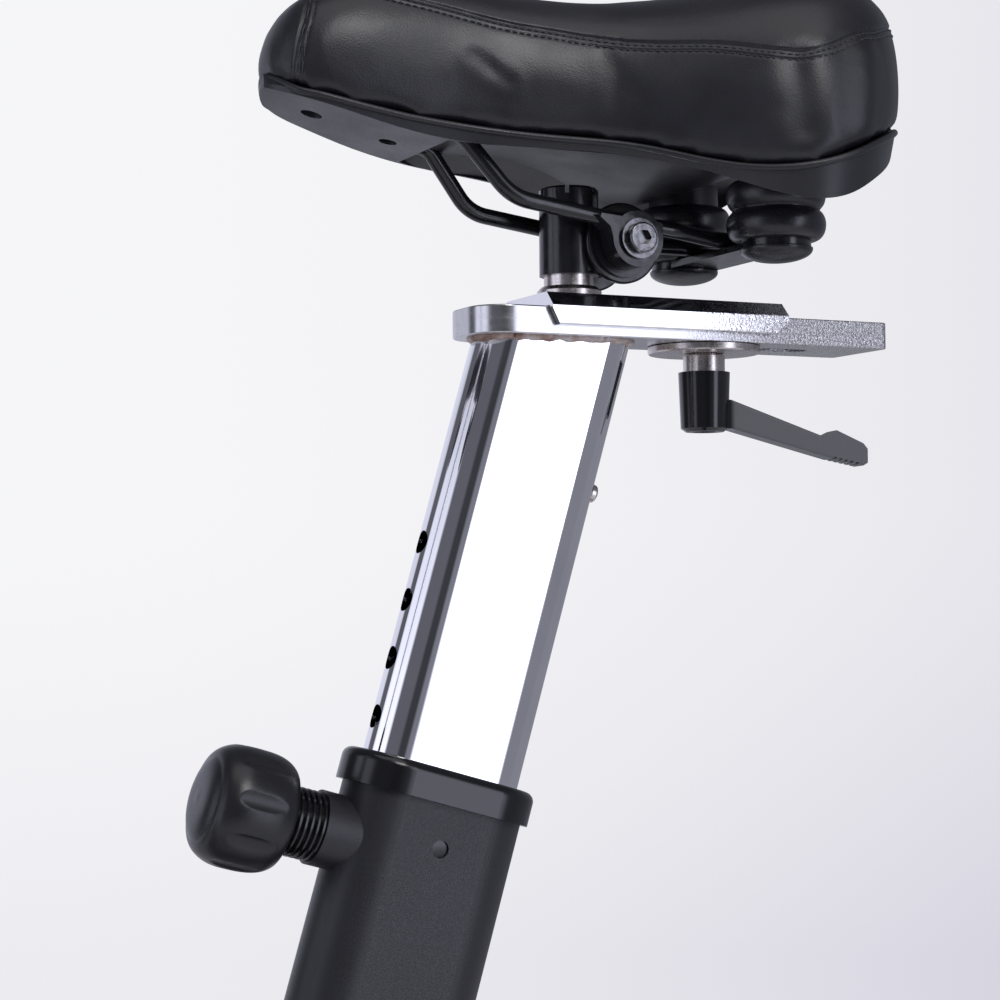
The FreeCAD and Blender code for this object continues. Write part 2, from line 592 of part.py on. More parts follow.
def stack_at(shape, side):
    moved = shape.copy()
    moved.translate(V(ELASTOMER_X, side * ELASTOMER_Y, 0))
    return put(moved, LEVEL)


# ---- Pull pins ---------------------------------------------------------------------------------

def pin_frame(frame, pin_z):
    """A frame on the pin's axis: its Z points out of the tube's front."""
    return frame.multiply(Placement(V(0, 0, pin_z), Rotation(Y, -90)))


def pin_socket(frame, pin_z):
    """The threaded boss that is welded to the tube's front."""
    boss = bar(V(0, 0, 0), V(0, 0, SOCKET_END), SOCKET_R)
    boss = boss.cut(bar(V(0, 0, -1), V(0, 0, 90), SOCKET_BORE))
    core = oval_bar(FRAME_OVAL, FRAME_WIDTH, pin_z - 60, pin_z + 60)
    return put(boss, pin_frame(frame, pin_z)).cut(put(core, frame))


def pin_housing(frame, pin_z):
    """The ribbed barrel that screws into the socket, and the cap that holds the spring in it."""
    slip = PLUNGER_R + SHAFT_FIT
    screwed = SOCKET_BORE - 0.05
    z = SOCKET_END + 0.1
    profile = [(slip, BARREL_START), (screwed, BARREL_START), (screwed, z)]
    while z + RIB_PITCH < BARREL_END:
        crest, root = z + RIB_PITCH - 1.4, z + RIB_PITCH - 1.0
        profile += [(RIB_R - 0.5, z), (RIB_R, z + 0.4), (RIB_R, crest), (RIB_R - 0.5, root),
                    (RIB_ROOT, root), (RIB_ROOT, z + RIB_PITCH)]
        z += RIB_PITCH
    nose = BARREL_START + 3
    profile += [(RIB_ROOT, BARREL_END), (BARREL_BORE, BARREL_END), (BARREL_BORE, nose), (slip, nose)]
    low = BARREL_END - BARREL_CAP
    cap = turned([(slip, low), (BARREL_BORE, low), (BARREL_BORE, BARREL_END), (slip, BARREL_END)])
    return [turned(profile, pin_frame(frame, pin_z)), put(cap, pin_frame(frame, pin_z))]


def knob_body():
    """A fluted pull knob, hollow behind so that it can swallow the barrel, with an inset cap."""
    front, back, r = KNOB_FRONT, KNOB_BACK, KNOB_R
    outside = [
        (r - 4.2, back), (r - 2.6, back + 2.0), (r - 0.6, back + 8), (r, back + 17), (r - 0.6, front - 10),
        (r - 2.4, front - 5.5), (r - 4.6, front - 2.8), (KNOB_CAP_R + 0.4, front - 1.6),
    ]
    inside = [(0, front - 1.6), (0, KNOB_HOLLOW), (KNOB_MOUTH_R, KNOB_HOLLOW), (KNOB_MOUTH_R, back)]
    body = smooth_turned(outside, inside)
    flutes = around(KNOB_LOBES, r + 6.2, back - 1, front - 7, 7.4)
    face = bar(V(0, 0, front - 3), V(0, 0, front + 2), KNOB_CAP_R + 0.4)
    dome = [(KNOB_CAP_R, front - 1.6), (0.8 * KNOB_CAP_R, front + 0.2), (0.4 * KNOB_CAP_R, front + 1.2),
            (0, front + 1.5)]
    cap = smooth_turned(dome, [(0, front - 3), (KNOB_CAP_R, front - 3)])
    return body.cut([*flutes, face]), cap


def around(count, distance, z0, z1, radius):
    """Round bars along Z, evenly spaced on a circle."""
    angles = [2 * math.pi * i / count for i in range(count)]
    feet = [V(math.cos(a), math.sin(a), 0) * distance for a in angles]
    return [bar(foot + Z * z0, foot + Z * z1, radius) for foot in feet]


def pin_knob(frame, pin_z):
    body, cap = knob_body()
    bored = body.cut(bar(V(0, 0, 0), V(0, 0, PLUNGER_END), PLUNGER_R))
    return [put(piece, pin_frame(frame, pin_z)) for piece in (bored, cap)]


def pin_plunger(frame, pin_z):
    """The steel pin: its tip stands clear of the post, and a collar takes the spring's push."""
    tip = POST_OVAL / 2 + 0.6
    pin = turned([(0, tip), (PLUNGER_R - 0.9, tip), (PLUNGER_R, tip + 1.2), (PLUNGER_R, COLLAR_START),
                  (BARREL_BORE - 0.3, COLLAR_START), (BARREL_BORE - 0.3, COLLAR_END),
                  (PLUNGER_R, COLLAR_END), (PLUNGER_R, PLUNGER_END), (0, PLUNGER_END)])
    return put(pin, pin_frame(frame, pin_z))


def pin_spring():
    """The coil between the plunger's collar and the barrel's cap."""
    low = COLLAR_END + SPRING_WIRE + 0.1
    high = BARREL_END - BARREL_CAP - SPRING_WIRE - 0.1
    helix = Part.makeHelix((high - low) / SPRING_TURNS, high - low, SPRING_R)
    profile = Part.Wire(Part.makeCircle(SPRING_WIRE, V(SPRING_R, 0, 0), Y))
    coil = Part.Wire(helix.Edges).makePipeShell([profile], True, True)
    coil.translate(V(0, 0, low))
    return put(coil, pin_frame(SEAT, SEAT_PIN_Z))


# ---- Frame -------------------------------------------------------------------------------------


def receiver(frame, top, end, pin_z, studs=()):
    """A frame tube that a post slides in, with its pin hole and its bushing's stud holes."""
    tube = oval_tube(FRAME_OVAL, FRAME_WIDTH, FRAME_WALL, end, top - 3)
    cuts = [bar(V(-50, 0, pin_z), V(-25, 0, pin_z), 9.05)]
    cuts += [bar(V(0, -30, z), V(0, 30, z), STUD_R + 0.1) for z in studs]
    return put(tube.cut(cuts), frame)


def bushing(frame, top, pin_z, studs=()):
    """The plastic bushing: a collar on the tube's rim, and a sleeve inside with locating studs."""
    lip = oval_bar(FRAME_OVAL + 2 * COLLAR_LIP, FRAME_WIDTH + 2 * COLLAR_LIP, top - COLLAR_DEPTH, top)
    lip = rounded(lip, COLLAR_ROUND, level_at(top))
    gap = 0.05
    rim = oval_bar(FRAME_OVAL + 2 * gap, FRAME_WIDTH + 2 * gap, top - COLLAR_DEPTH - 1, top - 3 + gap)
    lip = lip.cut(rim)
    inner = FRAME_OVAL - 2 * FRAME_WALL - 0.2, FRAME_WIDTH - 2 * FRAME_WALL - 0.2
    sleeve = oval_bar(*inner, top - BUSHING_DEPTH, top - 2)
    reach = FRAME_WIDTH / 2 - STUD_SINK
    parts = [lip, sleeve, *[bar(V(0, -reach, z), V(0, reach, z), STUD_R) for z in studs]]
    hollow = oval_bar(POST_OVAL + 2 * POST_GAP, POST_WIDTH + 2 * POST_GAP, top - BUSHING_DEPTH - 1, top + 1)
    pin = bar(V(-60, 0, pin_z), V(-20, 0, pin_z), 9.2)
    return put(fused(*parts).cut([hollow, pin]), frame)


def frame_tubes():
    """The welded frame: tubes that are coped to each other, by name."""
    seat = receiver(SEAT, SEAT_COLLAR_TOP, SEAT_TUBE_END, SEAT_PIN_Z, [STUD_Z])
    seat_core = put(oval_bar(FRAME_OVAL, FRAME_WIDTH, SEAT_TUBE_END, SEAT_COLLAR_TOP), SEAT)
    head = receiver(HEAD, 0, HEAD_TUBE_END, HEAD_PIN_Z)
    head_core = put(oval_bar(FRAME_OVAL, FRAME_WIDTH, HEAD_TUBE_END, 0), HEAD)
    shell_core = y_bar(BB.x, BB.z, BB_R, -BB_HALF, BB_HALF)
    shell = shell_core.cut(y_bar(BB.x, BB.z, BB_R - BB_WALL, -60, 60))
    main, main_core = beam(BEAM_START, BEAM_END, FRAME_OVAL, FRAME_WIDTH, FRAME_WALL)
    guide = brake_guide_core()
    main = main.cut([head_core, head_crown(), shell_core, seat_core, guide])
    rear_foot = V(REAR_STAB_X - 4, 0, STAB_Z + 8)
    rear, _ = beam(V(138, 0, 285), rear_foot, FRAME_OVAL, FRAME_WIDTH, FRAME_WALL)
    stab_core = stabilizer_bar(REAR_STAB_X)
    rear = rear.cut([shell_core, seat_core, stab_core, main_core])
    return {
        "seat_tube": [seat.cut(shell_core)],
        "main_beam": [largest(main)],
        "rear_beam": [largest(rear)],
        "head_tube": [head, head_crown()],
        "bottom_bracket_shell": [shell],
    }


def largest(shape):
    """The biggest solid of a coped tube: the offcuts past the joint are dropped."""
    return max(shape.Solids, key=lambda s: s.Volume)


def head_crown():
    """The plate under the head tube that the fork legs are welded to."""
    x, y, top = CROWN.x / 2, CROWN.y / 2, HEAD_TUBE_END
    crown = block(-x, x, -y, y, top - CROWN.z, top)
    return put(rounded(crown, 8, upright), HEAD)


def leg_frame():
    return tilted(FLYWHEEL, LEG_TILT)


def fork_legs():
    """Two oval legs from the crown to the front stabilizer, with the flywheel's bearing seats."""
    leg = oval_tube(LEG_OVAL, LEG_WIDTH, 2.0, -260, 270)
    leg = put(leg, leg_frame())
    leg.translate(V(0, LEG_Y, 0))
    above = put(block(-200, 200, -80, 80, HEAD_TUBE_END - CROWN.z, 80), HEAD)
    seat = y_bar(FLYWHEEL.x, FLYWHEEL.z, BEARING_R, 0, 80)
    leg = largest(leg.cut([above, seat, stabilizer_bar(FRONT_STAB_X)]))
    return mirrored(leg)


def stabilizer_bar(x):
    """The solid outside of a stabilizer tube."""
    tube = oval_bar(FRAME_OVAL, FRAME_WIDTH, -STAB_HALF, STAB_HALF)
    return put(tube, Placement(V(x, 0, STAB_Z), ALONG_Y))


def stabilizer_tube(x):
    tube = oval_tube(FRAME_OVAL, FRAME_WIDTH, FRAME_WALL, -STAB_HALF, STAB_HALF)
    return put(tube, Placement(V(x, 0, STAB_Z), ALONG_Y))


def roller_brackets():
    """A fork of two lugs and a pin for each transport roller."""
    pieces = []
    face = FRONT_STAB_X - FRAME_OVAL / 2 + 4
    for side in (-1, 1):
        for offset in (-ROLLER_HALF - 4.4, ROLLER_HALF + 0.4):
            y = side * ROLLER_Y + offset
            lug = plate([(face + 6, 35), (face + 6, 62), (ROLLER_X - 2, ROLLER_Z + 10),
                         (ROLLER_X - 10, ROLLER_Z + 4), (ROLLER_X - 10, ROLLER_Z - 6),
                         (ROLLER_X - 2, ROLLER_Z - 10)], y, y + 4)
            pin_hole = y_bar(ROLLER_X, ROLLER_Z, 5, y - 1, y + 5)
            pieces.append(lug.cut([stabilizer_bar(FRONT_STAB_X), pin_hole]))
        pieces.append(y_bar(ROLLER_X, ROLLER_Z, 5, side * ROLLER_Y - 18, side * ROLLER_Y + 18))
    return pieces


def front_stabilizer():
    return [stabilizer_tube(FRONT_STAB_X), *roller_brackets()]


def rear_stabilizer():
    holes = [bar(V(REAR_STAB_X, s * FOOT_Y, 20), V(REAR_STAB_X, s * FOOT_Y, 50), 5.3) for s in (-1, 1)]
    return stabilizer_tube(REAR_STAB_X).cut(holes)


def end_cap(x, with_pad):
    """A cap over a stabilizer's end, with a rubber-faced pad where there is no screw foot."""
    out = STAB_HALF + CAP_END
    start = STAB_HALF - CAP_DEPTH
    place = Placement(V(x, 0, STAB_Z), ALONG_Y)
    grow = 2 * CAP_WALL
    cap = oval_bar(FRAME_OVAL + grow, FRAME_WIDTH + grow, start, out)
    cap = rounded(cap, 2.5, level_at(out))
    cap = put(cap, place)
    if with_pad:
        pad = block(x - 24, x + 24, start, out - 4, 0, STAB_Z - 10)
        cap = fused(cap, rounded(pad, 5, upright))
    gap = 0.1
    return cap.cut(put(oval_bar(FRAME_OVAL + gap, FRAME_WIDTH + gap, 0, STAB_HALF + gap / 2), place))


def stabilizer_end_caps():
    return mirrored(end_cap(FRONT_STAB_X, True)) + mirrored(end_cap(REAR_STAB_X, False))


def level_foot(side):
    """A screw foot: rubber pad, jam nut and stud."""
    foot = turned([(0, 0), (FOOT_R - 2, 0), (FOOT_R, 2), (FOOT_R - 1, 9), (13, 13), (6, 14), (5, 14),
                   (5, 44), (0, 44)])
    nut = hexagon(0, 0, 17.0, 0, 6)
    nut = put(nut, Placement(V(0, 0, 17), Rotation(V(1, 0, 0), 90)))
    foot = fused(foot, nut)
    foot.translate(V(REAR_STAB_X, side * FOOT_Y, 0))
    return foot


def transport_wheel(side):
    r, half = ROLLER_R, ROLLER_HALF
    wheel = turned([
        (5.3, -half), (10, -half), (12, -half + 3), (r - 8, -half + 3), (r - 6, -half), (r - 2, -half),
        (r, -half + 2.5), (r, half - 2.5), (r - 2, half), (r - 6, half), (r - 8, half - 3),
        (12, half - 3), (10, half), (5.3, half),
    ], Placement(V(ROLLER_X, side * ROLLER_Y, ROLLER_Z), ALONG_Y))
    return wheel


# ---- Flywheel, crank, belt and guard -----------------------------------------------------------


def flywheel_disc():
    r, rim, web = FLYWHEEL_R, RIM_HALF, WEB_HALF
    inner = r - RIM_DEPTH
    disc = turned([
        (SHAFT_R, -24), (26, -24), (28, -22), (32, -web), (inner - 4, -web), (inner, -rim + 1),
        (inner + 2, -rim), (r - 1.5, -rim), (r, -rim + 1.5), (r, rim - 1.5), (r - 1.5, rim),
        (inner + 2, rim), (inner, rim - 1), (inner - 4, web), (32, web), (28, 22), (26, 24), (SHAFT_R, 24),
    ], Placement(FLYWHEEL, ALONG_Y))
    return disc


def pulley_profile(radius, bore, half, ribs):
    """A belt pulley's section, with shallow grooves round its face."""
    pitch = 2 * BELT_HALF / ribs
    face = []
    for i in range(ribs):
        y = -BELT_HALF + i * pitch
        face += [(radius, y), (radius - 1.2, y + pitch / 2)]
    return [(bore, -half), (radius, -half), *face[1:], (radius, BELT_HALF), (radius, half), (bore, half)]


def flywheel_shaft():
    """The turned shaft, with its belt pulley and end nuts."""
    shaft = y_bar(FLYWHEEL.x, FLYWHEEL.z, SHAFT_R, -66, BELT_Y + 14)
    place = Placement(V(FLYWHEEL.x, BELT_Y, FLYWHEEL.z), ALONG_Y)
    pulley = turned(pulley_profile(WHEEL_PULLEY_R, SHAFT_R, 9, 6), place)
    nut = hexagon(FLYWHEEL.x, FLYWHEEL.z, 24, -65, -57)
    nut = nut.cut(y_bar(FLYWHEEL.x, FLYWHEEL.z, SHAFT_R, -70, -50))
    return [shaft, pulley, nut]


def bearing(x, z, outer, y0, y1):
    return ring(x, z, outer, SHAFT_R + SHAFT_FIT, y0, y1)


def shaft_bearings():
    """Two bearings in the fork legs, and two in the bottom bracket shell."""
    inner, outer = LEG_Y - LEG_WIDTH / 2 - 2, LEG_Y + LEG_WIDTH / 2 + 0.5
    pair = mirrored(bearing(FLYWHEEL.x, FLYWHEEL.z, BEARING_R, inner, outer))
    return pair + mirrored(bearing(BB.x, BB.z, BB_R - BB_WALL, BB_HALF - 13, BB_HALF + 2))


def crank_axle():
    """The axle, and a flange nut on each end."""
    axle = y_bar(BB.x, BB.z, SHAFT_R, -CRANK_OUT + 1, CRANK_OUT - 1)
    out = CRANK_OUT
    nut = turned([(0, out + 0.1), (11.5, out + 0.1), (11.5, out + 2), (8.5, out + 3.5), (8.5, out + 7),
                  (7.5, out + 8), (0, out + 8)], Placement(BB, ALONG_Y))
    return [axle, *mirrored(nut)]


def crank_pulley():
    """A spoked pulley on the crank axle."""
    place = Placement(V(BB.x, BELT_Y, BB.z), ALONG_Y)
    r = CRANK_PULLEY_R
    wheel = turned(pulley_profile(r, SHAFT_R, 8.6, 6), place)
    pockets = [turned([(28, side * 3), (r - 9, side * 3), (r - 9, side * 20), (28, side * 20)], place)
               for side in (-1, 1)]
    windows = []
    for i in range(5):
        angle = math.radians(72 * i + 90)
        x, z = BB.x + 57 * math.cos(angle), BB.z + 57 * math.sin(angle)
        windows.append(y_bar(x, z, 17, BELT_Y - 20, BELT_Y + 20))
    return wheel.cut([*pockets, *windows])


def pedal_centre(side):
    """Where a pedal's axis is: the two arms point opposite ways."""
    angle = math.radians(180 + CRANK_DROP) if side < 0 else math.radians(CRANK_DROP)
    return V(BB.x + CRANK_LENGTH * math.cos(angle), 0, BB.z + CRANK_LENGTH * math.sin(angle))


def crank_arm(side):
    """A tapered arm from the axle to the pedal, and the pedal's spindle."""
    end = pedal_centre(side)
    run = (end - BB).normalize()
    across = V(-run.z, 0, run.x)
    y0, y1 = (CRANK_IN, CRANK_OUT) if side > 0 else (-CRANK_OUT, -CRANK_IN)
    corners = [BB + across * 15, end + across * 10.5, end - across * 10.5, BB - across * 15]
    web = plate([(p.x, p.z) for p in corners], y0, y1)
    arm = fused(web, y_bar(BB.x, BB.z, 20, y0, y1), y_bar(end.x, end.z, 15, y0, y1))
    arm = rounded(arm, 1.8, lambda e: all(abs(abs(v.Y) - CRANK_OUT) < 1e-3 for v in e.Vertexes))
    arm = arm.cut(y_bar(BB.x, BB.z, SHAFT_R, -200, 200))
    spindle_in, spindle_out = sorted((side * (CRANK_IN + 1), side * (CRANK_OUT + SPINDLE_LONG)))
    spindle = y_bar(end.x, end.z, SPINDLE_R, spindle_in, spindle_out)
    return [arm.cut(spindle), spindle]


def pedal(side):
    """A moulded platform with a barrel for the spindle and a window each side of it."""
    body = block(-PEDAL_WIDE / 2, PEDAL_WIDE / 2, PEDAL_IN, PEDAL_IN + PEDAL_LONG, -PEDAL_HALF, PEDAL_HALF)
    body = rounded(body, 9, upright)
    body = rounded(body, 3, lambda e: level_at(PEDAL_HALF)(e) or level_at(-PEDAL_HALF)(e))
    windows = [rounded(block(x, x + 22, PEDAL_IN + 12, PEDAL_IN + PEDAL_LONG - 12, -20, 20), 4, upright)
               for x in (-35, 13)]
    edge = PEDAL_WIDE / 2 + 1
    grooves = [block(-edge, edge, PEDAL_IN + y, PEDAL_IN + y + 3.2, PEDAL_HALF - 1.6, 30)
               for y in range(14, 84, 10)]
    bore = bar(V(0, PEDAL_IN - 1, 0), V(0, PEDAL_IN + PEDAL_LONG - 8, 0), SPINDLE_R + SHAFT_FIT)
    body = body.cut([*windows, *grooves, bore])
    return placed_pedal(body, side)


def placed_pedal(shape, side):
    """A right-hand piece, carried to its pedal and mirrored for the left."""
    piece = shape if side > 0 else shape.mirror(V(0, 0, 0), Y)
    piece.translate(pedal_centre(side))
    return piece


def toe_cage(side):
    """A ribbon cage over the toes, and a strap across the foot."""
    mid = PEDAL_IN + PEDAL_LONG / 2
    front = -PEDAL_WIDE / 2
    ribbon = flat_wire(3, 60)
    path = [V(front - 1.6, mid, -9), V(front - 1.6, mid, 2), V(front - 26, mid, 34),
            V(front - 14, mid, 64), V(front + 34, mid, 70)]
    cage = swept(path, [12, 12, 12], ribbon)
    window = block(front - 45, front - 8, mid - 12, mid + 12, 18, 58)
    strap = flat_wire(16, 2)
    x, y0, y1 = front + 24, PEDAL_IN - 1.6, PEDAL_IN + PEDAL_LONG + 1.6
    arch = [V(x, y1, -6), V(x, y1, 70), V(x, mid, 82), V(x, y0, 70), V(x, y0, -6)]
    strap = swept(arch, [18, 18, 18], strap)
    return [placed_pedal(piece, side) for piece in (cage.cut(window), strap)]


def drive_belt():
    outer = BELT_GAP + BELT_THICK
    half = BELT_HALF - 0.6
    loop = hull_slab(WHEEL_PULLEY_R + outer, CRANK_PULLEY_R + outer, BELT_Y - half, BELT_Y + half)
    return loop.cut(hull_slab(WHEEL_PULLEY_R + BELT_GAP, CRANK_PULLEY_R + BELT_GAP, 0, 200))


def axle_clearance(reach):
    return [y_bar(BB.x, BB.z, reach, 50, 120), y_bar(FLYWHEEL.x, FLYWHEEL.z, reach, 50, BELT_Y)]


def belt_guard_inner():
    """The flat back of the belt guard, inside the outer cover's rim."""
    wall = GUARD_WALL + 0.2
    back = hull_slab(GUARD_FRONT_R - wall, GUARD_REAR_R - wall, GUARD_IN, GUARD_IN + GUARD_WALL)
    return back.cut(axle_clearance(GUARD_BORE))


def belt_guard_outer():
    """The dished cover over the belt, with the crank's hole in it."""
    cover = hull_slab(GUARD_FRONT_R, GUARD_REAR_R, GUARD_IN, GUARD_OUT)
    cover = rounded(cover, 9, lambda e: all(abs(v.Y - GUARD_OUT) < 1e-3 for v in e.Vertexes))
    wall = GUARD_WALL
    hollow = hull_slab(GUARD_FRONT_R - wall, GUARD_REAR_R - wall, 0, GUARD_OUT - wall)
    hollow = rounded(hollow, 6.5, lambda e: all(abs(v.Y - GUARD_OUT + wall) < 1e-3 for v in e.Vertexes))
    swage = ring(BB.x, BB.z, 74, 70, GUARD_OUT - 0.8, GUARD_OUT + 1)
    return cover.cut([hollow, y_bar(BB.x, BB.z, GUARD_BORE, 50, 120), swage])


# ---- Brake -------------------------------------------------------------------------------------


def brake_frame():
    """A frame at the flywheel's centre whose Z runs out along the brake rod."""
    run = BEAM_END - BEAM_START
    normal = V(-run.z, 0, run.x).normalize()
    return tilted(FLYWHEEL, math.degrees(math.atan2(normal.x, normal.z)))


def beam_reach():
    """How far the main beam's axis is from the flywheel's centre."""
    run = (BEAM_END - BEAM_START).normalize()
    away = FLYWHEEL - BEAM_START
    return (away - run * away.dot(run)).Length


def brake_guide_core():
    reach = beam_reach()
    return put(bar(V(0, 0, reach - 60), V(0, 0, reach + 60), GUIDE_R), brake_frame())


def brake_guide():
    """The threaded sleeve through the main beam."""
    reach, half = beam_reach(), FRAME_OVAL / 2
    low, high, bore = reach - half - 4, reach + half, BRAKE_ROD_R + SHAFT_FIT
    sleeve = turned([(bore, low), (GUIDE_R, low), (GUIDE_R, high), (17, high), (17, high + 6),
                     (15, high + 8), (bore, high + 8)])
    return put(sleeve.cut(oval_lip(reach)), brake_frame())


def oval_lip(reach):
    """Trims the sleeve's flange where it sits on the beam's round top."""
    core = put(oval_bar(FRAME_OVAL, FRAME_WIDTH, -60, 60), Placement(V(0, 0, reach), Rotation(Y, 90)))
    return core.cut(bar(V(0, 0, reach - 80), V(0, 0, reach + 80), GUIDE_R))


def brake_rod():
    """The rod and the steel shoe on its end."""
    shoe_in = FLYWHEEL_R + BRAKE_GAP + FELT_THICK
    rod = bar(V(0, 0, shoe_in + 6), V(0, 0, beam_reach() + 100), BRAKE_ROD_R)
    shoe = rounded(block(-27, 27, -12, 12, shoe_in, shoe_in + 8), 4, upright)
    return put(fused(rod, shoe), brake_frame())


def brake_pad():
    """A felt pad whose face is curved to the flywheel's rim."""
    inner, outer = FLYWHEEL_R + BRAKE_GAP, FLYWHEEL_R + BRAKE_GAP + FELT_THICK
    pad = block(-25, 25, -11, 11, inner - 8, outer)
    return put(pad.cut(bar(V(0, -20, 0), V(0, 20, 0), inner)), brake_frame())


def tension_knob():
    """A lobed knob on the rod's top."""
    low = beam_reach() + 74
    body = smooth_turned([(14, low), (17.5, low + 3), (22, low + 12), (23, low + 21), (20, low + 29),
                          (12, low + 32)], [(0, low + 32), (0, low)])
    lobes = around(6, 28, low - 1, low + 40, 8.5)
    bore = bar(V(0, 0, low - 1), V(0, 0, beam_reach() + 100.5), BRAKE_ROD_R + SHAFT_FIT)
    return put(body.cut([*lobes, bore]), brake_frame())


# ---- Handlebar ---------------------------------------------------------------------------------


def handlebar_post():
    """The chromed post, and the welded arm that carries the bar."""
    tube = oval_tube(POST_OVAL, POST_WIDTH, POST_WALL, HEAD_POST_END, HEAD_POST_TOP)
    tube = put(tube.cut(post_holes(HEAD_PIN_Z, HEAD_HOLES, HEAD_STEPS)), HEAD)
    top = HEAD.multVec(V(0, 0, HEAD_POST_TOP))
    middle = BAR[0]
    arm = block(middle.x, top.x + 26, -17, 17, top.z - 14, top.z + 24)
    arm = rounded(arm, 5, lambda e: abs(e.Vertexes[0].X - e.Vertexes[-1].X) > 60)
    eye = y_bar(middle.x, middle.z, BAR_R + 7, -26, 26)
    arm = fused(arm, eye).cut(y_bar(middle.x, middle.z, BAR_R, -60, 60))
    core = put(oval_bar(POST_OVAL, POST_WIDTH, HEAD_POST_END, HEAD_POST_TOP), HEAD)
    return [tube, arm.cut(core)]


def bar_line():
    """The bar's whole centre line, left end to right end."""
    left = [V(p.x, -p.y, p.z) for p in reversed(BAR[1:])]
    return left + BAR[1:]


def handlebar():
    """One bent tube: a cross bar with a forward horn at each end."""
    line = bar_line()
    bends = [BAR_BEND] * (len(line) - 2)
    return swept(line, bends, round_wire(BAR_R)).cut(swept(line, bends, round_wire(BAR_R - BAR_WALL)))


def grip(start, end):
    """A foam sleeve on a straight stretch of the bar."""
    sleeve = bar(start, end, BAR_R + GRIP_THICK)
    sleeve = sleeve.makeFillet(2.5, [e for e in sleeve.Edges if e.Closed and e.Length > 100])
    return sleeve.cut(bar(start, end, BAR_R + 0.05))


def handlebar_grips():
    """Sleeves on the cross bar and on the horns."""
    pieces = []
    corner, tip, end = BAR[1], BAR[2], BAR[3]
    run = (tip - corner).normalize()
    last = (end - tip).normalize()
    for start, stop in ((V(corner.x, 60, corner.z), V(corner.x, 165, corner.z)),
                        (corner + run * 52, tip - run * 22), (tip + last * 22, end - last * 1)):
        pieces += mirrored(grip(start, stop))
    return pieces


# ---- Every node --------------------------------------------------------------------------------


def main():
    os.makedirs("parts", exist_ok=True)
    for name, solids in frame_tubes().items():
        save(name, *solids)
    save("seat_tube_bushing", bushing(SEAT, SEAT_COLLAR_TOP, SEAT_PIN_Z, [STUD_Z]))
    save("head_tube_bushing", bushing(HEAD, 0, HEAD_PIN_Z))
    save("seat_pin_socket", pin_socket(SEAT, SEAT_PIN_Z))
    save("seat_pin_housing", *pin_housing(SEAT, SEAT_PIN_Z))
    save("head_pin_housing", pin_socket(HEAD, HEAD_PIN_Z), *pin_housing(HEAD, HEAD_PIN_Z))
    save("seat_pin_knob", *pin_knob(SEAT, SEAT_PIN_Z))
    save("seat_pin_plunger", pin_plunger(SEAT, SEAT_PIN_Z))
    save("seat_pin_spring", pin_spring())
    save("head_pin_knob", *pin_knob(HEAD, HEAD_PIN_Z), pin_plunger(HEAD, HEAD_PIN_Z))
    save("fork_legs", *fork_legs())
    save("front_stabilizer", *front_stabilizer())
    save("rear_stabilizer", rear_stabilizer())
    save("stabilizer_end_caps", *stabilizer_end_caps())
    for side, word in ((-1, "left"), (1, "right")):
        save(f"level_foot_{word}", level_foot(side))
        save(f"transport_wheel_{word}", transport_wheel(side))
        save(f"crank_arm_{word}", *crank_arm(side))
        save(f"pedal_{word}", pedal(side))
        save(f"toe_cage_{word}", *toe_cage(side))
    save("flywheel_disc", flywheel_disc())
    save("flywheel_shaft", *flywheel_shaft())
    save("shaft_bearings", *shaft_bearings())
    save("crank_axle", *crank_axle())
    save("crank_pulley", crank_pulley())
    save("drive_belt", drive_belt())
    save("belt_guard_inner", belt_guard_inner())
    save("belt_guard_outer", belt_guard_outer())
    save("brake_guide", brake_guide())
    save("brake_rod", brake_rod())
    save("brake_pad", brake_pad())
    save("tension_knob", tension_knob())
    save("handlebar_post", *handlebar_post())
    save("handlebar", handlebar())
    save("handlebar_grips", *handlebar_grips())
    save("seat_post", seat_post())
    save("seat_post_weld", seat_post_weld())
    save("post_stop_screw", post_stop_screw())
    save("slide_plate", slide_plate())
    save("slider_channel", slider_channel())
    save("saddle_stub", saddle_stub())
    save("clamp_washer", clamp_washer())
    save("clamp_lever", clamp_lever())
    save("lever_stud", *lever_stud())
    save("clamp_bracket", clamp_bracket())
    save("clamp_bolt", *clamp_bolt())
    save("clamp_ears", *clamp_ears())
    save("saddle_rails", *saddle_rails())
    save("elastomer_springs", *elastomer_springs())
    save("elastomer_caps", *elastomer_caps())
    save("saddle_shell", saddle_shell())
    save("saddle_cushion", saddle_cushion())


main()
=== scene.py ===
"""The looks of an indoor exercise bike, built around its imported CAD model. Lengths are in metres."""

import json
import math

import bmesh
import bpy
from mathutils import Matrix, Vector, noise
from mathutils.bvhtree import BVHTree
from mathutils.kdtree import KDTree


